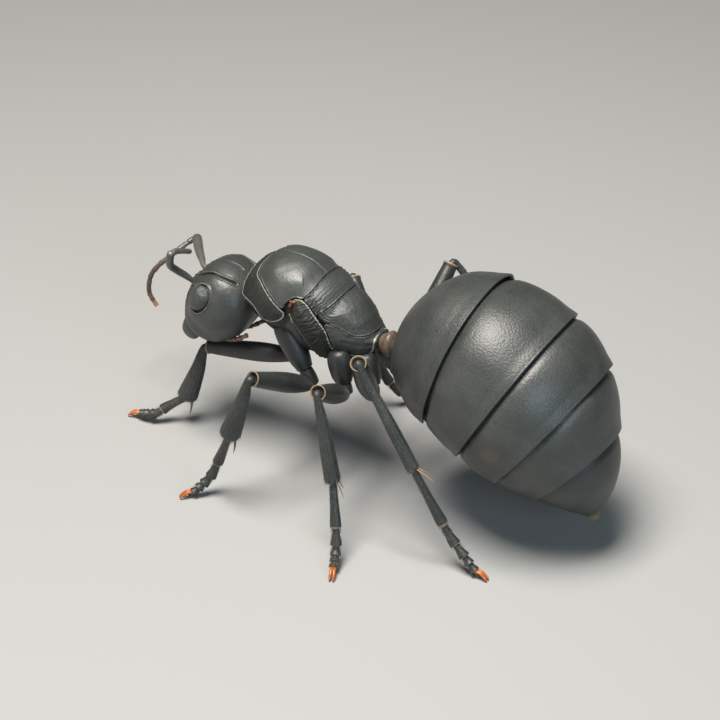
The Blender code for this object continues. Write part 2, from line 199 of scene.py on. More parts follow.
SCUTUM_TOP_FRONT, SCUTUM_TOP_REAR, SCUTELLUM_TOP_REAR = (4.62, OUTSIDE), (2.30, OUTSIDE), (1.56, OUTSIDE)


def along(table, where):
    """Reads a smooth curve through the rows of a table at fractions of its run."""
    table = np.asarray(table, float)
    spans = len(table) - 1
    x = np.clip(np.atleast_1d(where), 0, 1) * spans
    i = np.minimum(x.astype(int), spans - 1)
    t = (x - i)[:, None]
    start, end = table[i], table[i + 1]
    before, after = table[np.maximum(i - 1, 0)], table[np.minimum(i + 2, spans)]
    return (
        start * (2 * t**3 - 3 * t**2 + 1)
        + end * (3 * t**2 - 2 * t**3)
        + (end - before) * (0.5 * (t**3 - 2 * t**2 + t))
        + (after - start) * (0.5 * (t**3 - t**2))
    )


def rings(centres, across, over, widths, tops, bottoms, turns, power=2.0):
    """Superellipse rings, one for each centre, as an array of ring, turn and coordinate."""
    angle = 2 * np.pi * np.arange(turns) / turns
    cos, sin = np.cos(angle), np.sin(angle)
    x = np.sign(cos) * np.abs(cos) ** (2 / power)
    y = np.sign(sin) * np.abs(sin) ** (2 / power)
    reach = np.where(sin > 0, np.asarray(tops)[:, None], np.asarray(bottoms)[:, None]) * y
    sideways = np.asarray(widths)[:, None] * x
    across, over = np.broadcast_to(across, centres.shape), np.broadcast_to(over, centres.shape)
    return centres[:, None] + across[:, None] * sideways[..., None] + over[:, None] * reach[..., None]


def skin(grid, closed=True, ends=True):
    """The points and triangles of a grid of rings. Closed rings can be capped with a fan at each end."""
    count, turns = grid.shape[:2]
    index = np.arange(count * turns).reshape(count, turns)
    if closed:
        index = np.hstack([index, index[:, :1]])
    a, b, c, d = index[:-1, :-1], index[:-1, 1:], index[1:, 1:], index[1:, :-1]
    faces = [np.stack(corners, -1).reshape(-1, 3) for corners in ((a, b, c), (a, c, d))]
    points = grid.reshape(-1, 3)
    if closed and ends:
        points = np.vstack([points, grid[0].mean(0), grid[-1].mean(0)])
        for ring, hub, flip in ((index[0], -2, 1), (index[-1], -1, -1)):
            hubs = np.full(turns, len(points) + hub)
            faces.append(np.stack([ring[1:], ring[:-1], hubs], -1)[:, ::flip])
    return points, np.vstack(faces)


def facing_out(points, faces):
    """Turns every face round if most of the skin faces inwards."""
    a, b, c = (points[faces[:, i]] for i in range(3))
    middle = points.mean(0)
    if (np.cross(b - a, c - a) * ((a + b + c) / 3 - middle)).sum() < 0:
        return faces[:, ::-1]
    return faces


def normals_of(points, faces):
    """The way out of the skin at each point, as a mean over the faces round it."""
    a, b, c = (points[faces[:, i]] for i in range(3))
    flat = np.cross(b - a, c - a)
    total = np.zeros_like(points)
    for i in range(3):
        np.add.at(total, faces[:, i], flat)
    return total / np.maximum(np.linalg.norm(total, axis=1), 1e-12)[:, None]


def to_path(points, path):
    """The distance from flat points to a path of flat corners, and the way there."""
    best = np.full(len(points), 1e9)
    way = np.zeros((len(points), points.shape[1]))
    path = np.asarray(path, float)
    for start, end in zip(path[:-1], path[1:]):
        run = end - start
        t = np.clip((points - start) @ run / (run @ run), 0, 1)
        off = points - start - t[:, None] * run
        far = np.linalg.norm(off, axis=1)
        closer = far < best
        best[closer] = far[closer]
        way[closer] = off[closer]
    return best, way


def inside(points, outline):
    """Which flat points lie inside a closed outline."""
    crossed = np.zeros(len(points), bool)
    for (x0, y0), (x1, y1) in zip(outline, np.roll(outline, -1, axis=0)):
        if y0 != y1:
            level = (points[:, 1] > min(y0, y1)) & (points[:, 1] <= max(y0, y1))
            crossed ^= level & (points[:, 0] < x0 + (points[:, 1] - y0) * (x1 - x0) / (y1 - y0))
    return crossed


def clip(points, faces, depth):
    """Keeps the part of a skin where depth is positive, cutting the triangles that cross zero.

    A cut never comes so near a corner that it leaves a sliver."""
    within = depth[faces] > 0
    count = within.sum(1)
    kept = faces[count == 3]
    nearest = 0.04  # of a triangle's edge
    edges, extra = {}, []

    def crossing(a, b):
        key = (min(a, b), max(a, b))
        if key not in edges:
            share = depth[key[0]] / (depth[key[0]] - depth[key[1]])
            edges[key] = len(points) + len(extra)
            share = min(max(share, nearest), 1 - nearest)
            extra.append(points[key[0]] + (points[key[1]] - points[key[0]]) * share)
        return edges[key]

    cut = []
    for face, state, number in zip(faces, within, count):
        if number not in (1, 2):
            continue
        odd = int(np.argmax(state if number == 1 else ~state))
        a, b, c = (int(face[(odd + i) % 3]) for i in range(3))
        ab, ac = crossing(a, b), crossing(a, c)
        cut += [(a, ab, ac)] if number == 1 else [(ab, b, c), (ab, c, ac)]
    points = np.vstack([points, extra]) if extra else points
    faces = np.vstack([kept, np.array(cut, int).reshape(-1, 3)])
    used, faces = np.unique(faces, return_inverse=True)
    return points[used], faces.reshape(-1, 3)


def rolled(points, faces, bead, blur=3):
    """Adds a rolled edge along each open border. The bead is (outwards, up) steps.

    Also gives the step that each face belongs to, 0 for those that were there before."""
    normals = normals_of(points, faces)
    starts = faces.ravel()
    ends = faces[:, [1, 2, 0]].ravel()
    size = len(points)
    open_edges = ~np.isin(starts * size + ends, ends * size + starts)
    following = dict(zip(starts[open_edges].tolist(), ends[open_edges].tolist()))
    all_points, all_faces, first = [points], [faces], size
    steps = [np.zeros(len(faces), int)]
    while following:
        loop = [next(iter(following))]
        while following.get(loop[-1]) is not None:
            loop.append(following.pop(loop[-1]))
        loop = np.array(loop[:-1])
        if len(loop) < 8:  # a stray chip, not a border
            continue
        here, lift = points[loop], normals[loop]
        run = sum(np.roll(here, -i, axis=0) - np.roll(here, i, axis=0) for i in range(1, blur + 1))
        lift = sum(np.roll(lift, i, axis=0) for i in range(-blur, blur + 1))
        lift /= np.linalg.norm(lift, axis=1)[:, None]
        out = np.cross(run, lift)
        out /= np.maximum(np.linalg.norm(out, axis=1), 1e-9)[:, None]
        inner = loop
        for step, (reach, height) in enumerate(bead, 1):
            all_points.append(here + out * reach + lift * height)
            outer = first + np.arange(len(loop))
            first += len(loop)
            a, b, c, d = np.roll(inner, -1), inner, outer, np.roll(outer, -1)
            all_faces += [np.stack([a, b, c], -1), np.stack([a, c, d], -1)]
            steps.append(np.full(2 * len(loop), step))
            inner = outer
    return np.vstack(all_points), np.vstack(all_faces), np.concatenate(steps)


def add_piece(name, points, faces, finishes, which=None):
    """Makes a smooth mesh of points in the ant's millimetres.

    Which says, for each face, the number of its finish."""
    mesh = bpy.data.meshes.new(name)
    mesh.vertices.add(len(points))
    mesh.vertices.foreach_set("co", in_world(points).astype(np.float32).ravel())
    mesh.loops.add(3 * len(faces))
    mesh.loops.foreach_set("vertex_index", np.asarray(faces, np.int32).ravel())
    mesh.polygons.add(len(faces))
    mesh.polygons.foreach_set("loop_start", np.arange(0, 3 * len(faces), 3, dtype=np.int32))
    for finish in finishes:
        mesh.materials.append(finish)
    if which is not None:
        mesh.polygons.foreach_set("material_index", np.asarray(which, np.int32))
    mesh.update(calc_edges=True)
    mesh.validate()
    mesh.shade_smooth()
    piece = bpy.data.objects.new(name, mesh)
    scene.collection.objects.link(piece)
    return piece


def fit(piece, finish_slot, *nodes):
    """Sets a piece on the one body, in the place of its solids."""
    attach(piece, "root")
    if nodes:
        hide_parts(*nodes)


CUTICLE_INDEX = 1.55  # how strongly dry insect cuticle bends light
CLOUD = 1.3  # mm: the width of the soft clouds in its colour


def chitin(name, shade, bloom, roughness, grain, relief, marks=(), index=CUTICLE_INDEX):
    """Insect cuticle: hardened, tanned and waxed. Satin, clouded from shade to bloom, and leathery.

    Grain and relief are the width and height of its cells in mm. The real cells are about 0.01 mm wide,
    and are drawn a few times coarser so that they show. A mark is a stain or a paler patch: its middle,
    its reach in mm, its colour and how far it covers."""
    finish, tree, shader = new_finish(name)
    where = add_node(tree, "ShaderNodeTexCoord").outputs["Object"]
    cloud = add_node(
        tree, "ShaderNodeTexNoise",
        {"Scale": 1 / (CLOUD * MM), "Detail": 4, "Roughness": 0.6}, {"Vector": where},
    ).outputs["Fac"]
    speckle = add_node(
        tree, "ShaderNodeTexNoise",
        {"Scale": 1 / (grain * MM), "Detail": 3, "Roughness": 0.65}, {"Vector": where},
    ).outputs["Fac"]
    scales = add_node(
        tree, "ShaderNodeTexVoronoi",
        {"Scale": 1 / (1.4 * grain * MM)}, {"Vector": where}, feature="SMOOTH_F1",
    ).outputs["Distance"]
    both = add_node(tree, "ShaderNodeMath", {}, {0: cloud, 1: speckle}, operation="ADD").outputs["Value"]
    spread = add_node(
        tree, "ShaderNodeMapRange", {"From Min": 0.72, "From Max": 1.28}, {"Value": both}
    ).outputs["Result"]
    ramp = add_node(tree, "ShaderNodeValToRGB", {}, {"Fac": spread})
    ramp.color_ramp.elements[0].color = linear(shade)
    ramp.color_ramp.elements[1].color = linear(bloom)
    colour = ramp.outputs["Color"]
    for middle, reach, tint, cover in marks:
        far = add_node(
            tree, "ShaderNodeVectorMath", {1: in_world(middle).tolist()}, {0: where}, operation="DISTANCE"
        ).outputs["Value"]
        ragged = add_node(
            tree, "ShaderNodeMath", {1: 0.7 * reach * MM}, {0: cloud, 2: far}, operation="MULTIPLY_ADD"
        ).outputs["Value"]
        fade = add_node(
            tree, "ShaderNodeMapRange",
            {"From Min": 0.75 * reach * MM, "From Max": 1.35 * reach * MM, "To Min": cover, "To Max": 0.0},
            {"Value": ragged}, interpolation_type="SMOOTHSTEP",
        ).outputs["Result"]
        mixed = add_node(tree, "ShaderNodeMix", {}, {0: fade, 6: colour}, data_type="RGBA")
        mixed.inputs[7].default_value = linear(tint)
        colour = mixed.outputs[2]
    tree.links.new(colour, shader.inputs["Base Color"])
    gloss = add_node(  # the grain's hollows keep their wax and are a little glossier
        tree, "ShaderNodeMapRange",
        {"To Min": roughness - 0.06, "To Max": roughness + 0.08}, {"Value": speckle},
    ).outputs["Result"]
    tree.links.new(gloss, shader.inputs["Roughness"])
    height = add_node(tree, "ShaderNodeMath", {}, {0: speckle, 1: scales}, operation="ADD").outputs["Value"]
    bump = add_node(
        tree, "ShaderNodeBump", {"Strength": 1.0, "Distance": relief * MM}, {"Height": height}
    ).outputs["Normal"]
    tree.links.new(bump, shader.inputs["Normal"])
    shader.inputs["IOR"].default_value = index
    return finish


# Waxed black cuticle: a broad satin light with a cold tint, broken by the grain.
BLACK_CHITIN = chitin("black_chitin", "#2B2E2D", "#434643", 0.41, 0.042, 0.0045)
# The same painted pale and brighter along the crests of some plates' rims and the head's ridges: a painted
# highlight.
RIM_HIGHLIGHT_CHITIN = chitin("painted_highlight_rim", "#6A6B64", "#9C988A", 0.32, 0.05, 0.003)
# The hind trunk has less wax: its light is wider and weaker.
SATIN_CHITIN = chitin("satin_chitin", "#292C2B", "#40433F", 0.48, 0.042, 0.006)
# The collar and flank strip: nearly matt, with a weaker glint, and darker than the dome above; on the flank
# strip, which lies in shadow, the darker colour is painted shade.
DULL_AND_SHADE_CHITIN = chitin("dull_chitin_painted_shade", "#1D201E", "#31322F", 0.50, 0.040, 0.007, index=1.36)
# The hips, breast, lower gaster plates, neck and lip: near black, a painted shade for where they lie in
# shadow under her.
UNDERSIDE_SHADE_CHITIN = chitin("underside_painted_shade_chitin", "#1A1D1D", "#292D2C", 0.42, 0.045, 0.004)
# Soft skin between the plates: matt and dark brown, drawn near black as painted shade so that each seam and
# hollow reads as a black line. It also paints the shade on the floor of the head's suture.
SHADED_MEMBRANE = chitin("joint_membrane_painted_shade", "#0D0B0A", "#17120F", 0.6, 0.06, 0.004)

TRUNK_STATIONS, TRUNK_TURNS = 250, 320  # points along the trunk and round it
MEMBRANE_DEPTH = 0.13  # mm below the plates
rows = along(TRUNK, np.linspace(0, 1, TRUNK_STATIONS))
centres = np.stack([rows[:, 0], 0 * rows[:, 0], rows[:, 1]], -1)
barrel, barrel_faces = skin(
    rings(centres, (0, 1, 0), (0, 0, 1), rows[:, 2], rows[:, 3], rows[:, 4], TRUNK_TURNS, TRUNK_ROUNDNESS)
)
barrel_faces = facing_out(barrel, barrel_faces)
barrel_normals = normals_of(barrel, barrel_faces)
flank = barrel[:, [0, 2]]

core = barrel - barrel_normals * MEMBRANE_DEPTH
# The core under the plates carries the membrane's painted shade.
fit(add_piece("trunk_membrane", core, barrel_faces, [SHADED_MEMBRANE]), "shell")


def seam(*edges):
    """A closed outline of edges, each drawn as a smooth curve through its points."""
    drawn = []
    for edge in edges:
        count = 1 + 6 * (len(edge) - 1) if len(edge) > 2 else len(edge)
        drawn += along(edge, np.linspace(0, 1, count)).tolist()
    return np.array([p for p, q in zip(drawn, drawn[1:] + drawn[:1]) if math.dist(p, q) > 1e-6])


def bell(distance, width):
    """One in the middle, falling smoothly to nothing at about twice the width."""
    return np.exp(-((distance / width) ** 2))


def ease(value, start, end):
    """Rises smoothly from zero at the start to one at the end."""
    t = np.clip((value - start) / (end - start), 0, 1)
    return t * t * (3 - 2 * t)


def noise(points, size, seed):
    """Soft unevenness of about one, as a sum of waves in many directions. The size is in mm."""
    source = np.random.default_rng(seed)
    total = np.zeros(len(points))
    for _ in range(18):
        way = source.normal(size=3)
        way *= 2 * np.pi / size / np.linalg.norm(way) * source.uniform(0.6, 1.6)
        total += np.sin(points @ way + source.uniform(0, 2 * np.pi))
    return total / 3.0


def scutellum_folds(points, depth):
    """Wrinkles 0.12 and 0.07 mm apart that lean back, deepest by the plate's foot."""
    forward, up = points[:, 0], points[:, 2]
    near, _ = to_path(points[:, [0, 2]], SCUTELLUM_FOOT)
    across = 0.88 * forward + 0.47 * up + 0.10 * near
    across += (0.018 + 0.035 * bell(near, 0.22)) * noise(points, 0.42, 3)
    wave = np.sin(2 * np.pi * across / 0.120) + 0.5 * np.sin(2 * np.pi * across / 0.071 + 1.0)
    reach = 0.026 * bell(near - 0.03, 0.20) + 0.004 * bell(near, 0.8)
    return reach * wave * ease(depth, 0, 0.10) + 0.05 * ease(depth, 0, 0.4)


def propodeum_folds(points, depth):
    """A low swelling behind a shallow dip, with ripples 0.09 mm apart along the front of its foot."""
    flat = points[:, [0, 2]]
    near, _ = to_path(flat, PROPODEUM_FOOT)
    from_front, _ = to_path(flat, SCUTELLUM_REAR[2:])
    corner = np.hypot(flat[:, 0] - 2.0, flat[:, 1] - 1.08)
    wave = np.sin(2 * np.pi * (near + 0.020 * noise(points, 0.5, 4)) / 0.090)
    ripples = 0.022 * wave * bell(corner, 0.42) * ease(depth, 0, 0.08) * bell(near, 0.45)
    dip = 0.02 * bell(from_front - 0.2, 0.1)
    return ripples + 0.08 * ease(depth, 0, 0.6) - dip + 0.003 * noise(points, 0.2, 5)


def wing_hollow(points):
    """The hollow under the upper plate's edge where a wing was hinged."""
    far = np.linalg.norm((np.abs(points) - (2.98, 1.36, 1.24)) * (1.0, 1.0, 0.6), axis=1)
    return -0.30 * bell(far, 0.20)


def strip_ridges(points, depth):
    """A bulging strip crossed by ridges 0.15 and 0.08 mm apart, hollow under the wings' hinges."""
    up = points[:, 2]
    wave = np.sin(2 * np.pi * (up + 0.25 * points[:, 0] + 0.05 * noise(points, 0.45, 6)) / 0.15)
    fine = np.sin(2 * np.pi * (up + 0.35 * points[:, 0] + 0.03 * noise(points, 0.3, 7)) / 0.08)
    rough = noise(points, 0.16, 8)
    ridges = 0.014 * wave + 0.006 * fine + 0.007 * rough
    return 0.17 * ease(depth, 0, 0.34) + ridges * ease(depth, 0.02, 0.12) + wing_hollow(points)


SOCKET_RIM = (
    (1.60, -0.12), (1.46, -0.23), (1.08, -0.31), (0.72, -0.28), (0.44, -0.19), (0.30, 0.04), (0.28, 0.40)
)


def side_plate_relief(points, depth):
    """A low swelling over the gland, and a fine ridge that runs over the hind hips."""
    bulla = np.linalg.norm(points - (0.75, 0.66, -0.20), axis=1)
    bulla = np.minimum(bulla, np.linalg.norm(points - (0.75, -0.66, -0.20), axis=1))
    rim, _ = to_path(points[:, [0, 2]], along(SOCKET_RIM, np.linspace(0, 1, 30)))
    swelling = 0.03 * ease(depth, 0, 0.3) + 0.05 * bell(bulla, 0.25)
    return swelling + 0.006 * noise(points, 0.3, 9) + 0.05 * bell(rim, 0.03)


def collar_relief(points, depth):
    """A flat collar with a raised middle and a fine unevenness."""
    return 0.05 * ease(depth, 0, 0.3) + 0.004 * noise(points, 0.12, 10)


def dome_relief(points, depth):
    """The upper plate's smooth dome, over the flight muscles she no longer needs, with its median line."""
    median_line = 0.05 * bell(points[:, 1], 0.022) * ease(depth, 0.05, 0.15)
    return 0.07 * ease(depth, 0, 0.7) + 0.003 * noise(points, 0.5, 11) - median_line


def breast_relief(points, depth):
    """Drawn in below the collar, with a groove along the keel and the wings' hollow at the top."""
    front = ease(points[:, 0], 2.6, 3.2)
    groove = bell(points[:, 1], 0.05) * (points[:, 2] < 0)
    return -0.16 * front + 0.03 * ease(depth, 0, 0.3) - 0.04 * groove + wing_hollow(points)


BEAD = (
    (0.014, -0.003), (0.028, 0.002), (0.042, 0.012), (0.056, 0.016), (0.069, 0.012),
    (0.079, 0.000), (0.084, -0.020), (0.084, -0.050), (0.078, -0.100), (0.070, -0.160),
)
BEAD_REACH = 0.09  # mm: each plate is cut this far inside its seam, and the bead fills the rest
BEAD_CREST = (3, 5)  # the first and last step on top of the bead, where the painted highlight lies
PLATES = (  # name, relief, edges
    ("pronotum", collar_relief, (PRONOTUM_LOBE, COLLAR_FRONT, [SCUTUM_TOP_FRONT], PRONOTUM_REAR)),
    ("mesoscutum", dome_relief,
     (PRONOTUM_REAR, SCUTUM_EDGE, SCUTUM_REAR, [SCUTUM_TOP_REAR, SCUTUM_TOP_FRONT])),
    ("scutellum", scutellum_folds,
     (SCUTUM_REAR[::-1], SCUTELLUM_FOOT, SCUTELLUM_REAR[::-1], [SCUTELLUM_TOP_REAR, SCUTUM_TOP_REAR])),
    ("propodeum", propodeum_folds,
     (SCUTELLUM_REAR, PROPODEUM_FOOT, [(0.0, 0.50), TOP_REAR], [SCUTELLUM_TOP_REAR])),
    ("mesopleura", strip_ridges,
     (STRIP_FRONT[::-1], SCUTUM_EDGE[1:], SCUTELLUM_FOOT, STRIP_REAR, [(1.53, -OUTSIDE), (2.40, -OUTSIDE)])),
    ("metapleura", side_plate_relief,
     (STRIP_REAR[::-1], PROPODEUM_FOOT, [(0.0, 0.50), (0.0, -OUTSIDE)], [(1.53, -OUTSIDE)])),
    ("breast", breast_relief,
     (PRONOTUM_LOBE[::-1], SCUTUM_EDGE[:2], STRIP_FRONT, [(2.40, -OUTSIDE), (6.0, -OUTSIDE)], [(6.0, 1.12)])),
)
# The breast and the flank strip are drawn in painted shade.
GROUND = {
    "pronotum": DULL_AND_SHADE_CHITIN, "mesopleura": DULL_AND_SHADE_CHITIN, "breast": UNDERSIDE_SHADE_CHITIN,
    "scutellum": SATIN_CHITIN, "propodeum": SATIN_CHITIN,
}
for name, relief, edges in PLATES:
    outline = seam(*edges)
    far, way = to_path(flank, np.vstack([outline, outline[:1]]))
    depth = np.where(inside(flank, outline), far, -far)
    facing = (way[:, 0] * barrel_normals[:, 0] + way[:, 1] * barrel_normals[:, 2]) / np.maximum(far, 1e-9)
    depth = depth / np.maximum(np.sqrt(1 - np.clip(facing, -1, 1) ** 2), 0.25)  # measured along the skin
    chosen = barrel_faces[(depth[barrel_faces] > 0).any(1)]
    raised = barrel + barrel_normals * relief(barrel, np.maximum(depth, 0))[:, None]
    points, faces = clip(raised, chosen, depth - BEAD_REACH)
    points, faces, step = rolled(points, faces, BEAD)
    # The crest of the collar's and the flank strip's beads gets a painted highlight.
    rim_highlight = (step >= BEAD_CREST[0]) & (step <= BEAD_CREST[1]) & (name in ("pronotum", "mesopleura"))
    if name == "metapleura":  # the ridge over the hind hips gets the painted highlight too
        ridge, _ = to_path(points[:, [0, 2]], along(SOCKET_RIM, np.linspace(0, 1, 30)))
        rim_highlight |= (ridge[faces] < 0.03).all(1) & (step == 0)
    finishes = [GROUND.get(name, BLACK_CHITIN), RIM_HIGHLIGHT_CHITIN]
    fit(add_piece(name + "_plate", points, faces, finishes, rim_highlight), "shell", name)


# Wing scars: she bit her wings off after her flight, and left torn orange-brown stumps of their hinges
# under the edge of the upper plate, two on each side.

# Torn thin cuticle: rough, blotched from dark brown to orange, with a dry half gloss.
SCAR_CHITIN = chitin("torn_wing_hinge", "#24150D", "#7C4A28", 0.5, 0.04, 0.006)
SCARS = (  # middle and reach of each lump
    ((2.88, 1.32, 1.50), (0.14, 0.06, 0.06)),
    ((2.71, 1.26, 1.56), (0.09, 0.05, 0.04)),
    ((2.95, 1.37, 1.36), (0.05, 0.05, 0.08)),
)
lump = bmesh.new()
bmesh.ops.create_icosphere(lump, subdivisions=4, radius=1.0)
ball = np.array([vertex.co for vertex in lump.verts])
ball_faces = np.array([[vertex.index for vertex in face.verts] for face in lump.faces])
lump.free()
for side, sign in SIDES:
    points, faces = [], []
    for number, (middle, reach) in enumerate(SCARS):
        knobs = 1 + 0.16 * noise(ball, 1.1, 50 + number) + 0.07 * noise(ball, 0.45, 60 + number)
        faces.append(ball_faces + number * len(ball))
        points.append((np.array(middle) + ball * knobs[:, None] * reach) * (1, sign, 1))
    points, faces = np.vstack(points), np.vstack(faces)[:, ::sign]
    fit(add_piece("wing_scar_" + side, points, faces, [SCAR_CHITIN]), "shell")


# Petiole: the one low scale of the waist, with a short stalk to the gaster. Its cuticle is thinner and
# less tanned than the rest, so it shows tan brown.

# Thin tan cuticle: a soft sheen with warm clouds in it.
PALE_CHITIN = chitin("tan_waist_chitin", "#4C4038", "#80705F", 0.42, 0.06, 0.003)
NODE = (  # forward, height of the middle, half width, half height
    (0.30, 0.10, 0.20, 0.18),
    (0.24, 0.08, 0.27, 0.25),
    (0.08, 0.06, 0.34, 0.36),
    (-0.08, 0.08, 0.41, 0.46),
    (-0.20, 0.08, 0.38, 0.42),
    (-0.30, 0.06, 0.27, 0.27),
    (-0.41, 0.06, 0.22, 0.20),
    (-0.50, 0.08, 0.26, 0.24),
)
rows = along(NODE, np.linspace(0, 1, 70))
centres = np.stack([rows[:, 0], 0 * rows[:, 0], rows[:, 1]], -1)
points, faces = skin(rings(centres, (0, 1, 0), (0, 0, 1), rows[:, 2], rows[:, 3], rows[:, 3], 64, 2.2))
fit(add_piece("petiole_scale", points, facing_out(points, faces), [PALE_CHITIN]), "waist", "petiole")


# Gaster: five overlapping rings, each an upper plate that folds over a narrower lower plate. The rear
# rim of every ring stands as a lip over the next, with soft membrane below drawn near black as painted shade.
# The lower plates wear the underside's painted shade.

TERGITES = (  # each a run of rings: forward, up, degrees that the ring leans back, radius
    ((-0.44, 0.12, 0, 0.34), (-0.56, 0.26, 1, 0.72), (-0.82, 0.46, 3, 1.24), (-1.25, 0.68, 6, 1.79),
     (-1.96, 0.83, 10, 2.36), (-2.48, 0.81, 13, 2.62), (-2.97, 0.76, 16, 2.74)),
    ((-2.60, 0.78, 14, 2.52), (-2.97, 0.76, 16, 2.66), (-3.55, 0.60, 20, 2.87), (-4.16, 0.33, 24, 2.98),
     (-4.75, 0.00, 29, 2.98)),
    ((-4.35, 0.22, 26, 2.84), (-4.75, 0.00, 29, 2.89), (-5.24, -0.30, 31, 2.93), (-5.68, -0.65, 33, 2.85),
     (-6.10, -1.02, 35, 2.66)),
    ((-5.80, -0.76, 34, 2.66), (-6.10, -1.02, 35, 2.58), (-6.44, -1.38, 37, 2.44), (-6.74, -1.80, 40, 2.19),
     (-7.00, -2.26, 43, 1.86)),
    ((-6.80, -1.90, 41, 1.98), (-7.00, -2.26, 43, 1.78), (-7.38, -2.90, 52, 1.37), (-7.62, -3.50, 58, 0.84),
     (-7.76, -3.95, 62, 0.36), (-7.80, -4.17, 64, 0.16)),
)
GASTER_ROUNDNESS = 2.1
UPPER_PLATE = math.radians(130)  # how far down each side the upper plate reaches, from the top
LOWER_PLATE = math.radians(120)  # where the lower plate starts, tucked under the upper one
LOWER_INSET, GASTER_MEMBRANE_DEPTH = 0.07, 0.16  # mm below the upper plates
LIP = (  # steps of a plate's rear rim: outwards, then up
    (0.016, 0.003), (0.032, 0.006), (0.048, 0.005), (0.060, -0.002), (0.068, -0.016), (0.070, -0.036),
    (0.062, -0.062), (0.040, -0.085), (0.000, -0.100), (-0.120, -0.130),
)


def gaster_rows(run, where, inset=0.0):
    """Rings of the gaster at fractions of a run: centre, the direction over it, and the radius."""
    rows = along(run, where)
    lean = np.radians(rows[:, 2])
    centres = np.stack([rows[:, 0], 0 * lean, rows[:, 1]], -1)
    over = np.stack([-np.sin(lean), 0 * lean, np.cos(lean)], -1)
    return centres, over, rows[:, 3] - inset


def gaster_sheet(run, where, turns, inset=0.0):
    """A part of a gaster ring between two turns from the top, as an open sheet."""
    centres, over, radius = gaster_rows(run, where, inset)
    cos, sin = np.cos(turns), np.sin(turns)
    y = np.sign(cos) * np.abs(cos) ** (2 / GASTER_ROUNDNESS)
    x = np.sign(sin) * np.abs(sin) ** (2 / GASTER_ROUNDNESS)
    grid = centres[:, None] + over[:, None] * (radius[:, None] * y)[..., None]
    grid = grid + np.array((0, 1, 0)) * (radius[:, None] * x)[..., None]
    points, faces = skin(grid, closed=False)
    outward = points - np.repeat(centres, len(turns), axis=0)
    if (normals_of(points, faces) * outward).sum() < 0:
        faces = faces[:, ::-1]
    return points, faces


DENT = np.array((-5.30, 2.86, -0.85))  # a shallow knock on her left side
PITS = ((-4.79, 1.07, 3.02), (-4.09, 1.81, 2.72), (-3.46, 1.75, 2.82), (-6.2, -1.2, 1.2), (-5.2, -1.9, 1.5))
DENT_STAIN = (DENT + (0.0, 0.0, -0.05), 0.40, "#54443C", 0.65)
GLAND_STAIN = ((-7.86, 0.0, -4.25), 0.60, "#6F6A42", 0.8)
# The gaster's black cuticle is the most leathery: its wide light breaks up into fine cells.
GASTER_CHITIN = chitin("gaster_chitin", "#2B2E2D", "#434643", 0.41, 0.048, 0.0075)
GASTER_FINISH = {
    # The same with a brown stain where the knock has rubbed it.
    3: chitin("stained_chitin", "#2B2E2D", "#434643", 0.41, 0.048, 0.0075, [DENT_STAIN]),
    # A little darker, and turning olive yellow where the acid gland opens.
    5: chitin("tip_chitin", "#242726", "#3A3D3A", 0.43, 0.048, 0.0075, [GLAND_STAIN]),
}
# The gaster's core carries the membrane's painted shade.
core_run = [
    (forward, up, lean, max(radius - GASTER_MEMBRANE_DEPTH, 0.05))
    for run in TERGITES for forward, up, lean, radius in run[1:]
]
centres, over, radius = gaster_rows(core_run, np.linspace(0, 1, 60))
points, faces = skin(rings(centres, (0, 1, 0), over, radius, radius, radius, 72, GASTER_ROUNDNESS))
fit(add_piece("gaster_membrane", points, facing_out(points, faces), [SHADED_MEMBRANE]), "shell")

for number, run in enumerate(TERGITES, 1):
    where = np.linspace(0, 1, 90)
    turns = np.linspace(-UPPER_PLATE, UPPER_PLATE, 260)
    points, faces = gaster_sheet(run, where, turns)
    normals = normals_of(points, faces)
    steps = np.linalg.norm(np.diff(along(run, where)[:, :2], axis=0), axis=1)
    run_mm = np.repeat(np.concatenate([[0], np.cumsum(steps)]), len(turns))
    relief = 0.012 * noise(points, 2.2, 20 + number)
    relief += 0.035 * ease(run_mm, run_mm[-1] - 0.30, run_mm[-1])  # the rear edge swells a little
    if number > 1:  # a groove runs where the plate comes out from under the one before
        came_out = run_mm[np.searchsorted(where, 1 / (len(run) - 1)) * len(turns)]
        relief -= 0.075 * bell(run_mm - came_out - 0.03, 0.15)
    relief -= 0.05 * bell(np.linalg.norm(points - DENT, axis=1), 0.30)
    for pit in PITS:
        relief -= 0.02 * bell(np.linalg.norm(points - pit, axis=1), 0.035)
    points = points + normals * relief[:, None]
    points, faces, _ = rolled(points, faces, LIP)
    fit(
        add_piece("tergite_%d_plate" % number, points, faces, [GASTER_FINISH.get(number, GASTER_CHITIN)]),
        "shell", "tergite_%d" % number,
    )
    # The lower plate is drawn in the underside's painted shade.
    turns = np.linspace(LOWER_PLATE, 2 * math.pi - LOWER_PLATE, 150)
    points, faces = gaster_sheet(run, np.linspace(0, 1, 60), turns, LOWER_INSET)
    points = points + normals_of(points, faces) * 0.012 * noise(points, 1.8, 30 + number)[:, None]
    points, faces, _ = rolled(points, faces, LIP)
    fit(add_piece("sternite_%d_plate" % number, points, faces, [UNDERSIDE_SHADE_CHITIN]), "shell")


# Head: one hard capsule, widest behind the eyes. It carries the sockets of the feelers, the raised
# shield over the mouth, and a fine suture that runs back from each socket.

HEAD_MIDDLE = np.array((6.38, 0.0, -0.15))
HEAD_PITCH = math.radians(58)
HEAD_LENGTH, HEAD_WIDTH, HEAD_FACE, HEAD_THROAT = 1.58, 1.46, 1.30, 1.20  # half sizes
LONG_ROUNDNESS, CROSS_ROUNDNESS = 2.3, 2.2  # of the capsule along its axis and across it
HEAD_AXIS = np.array((math.cos(HEAD_PITCH), 0, -math.sin(HEAD_PITCH)))
FACE = np.array((math.sin(HEAD_PITCH), 0, math.cos(HEAD_PITCH)))
LEFT = np.array((0.0, 1.0, 0.0))


def unit(way):
    """The same direction with a length of one."""
    return way / np.linalg.norm(way)


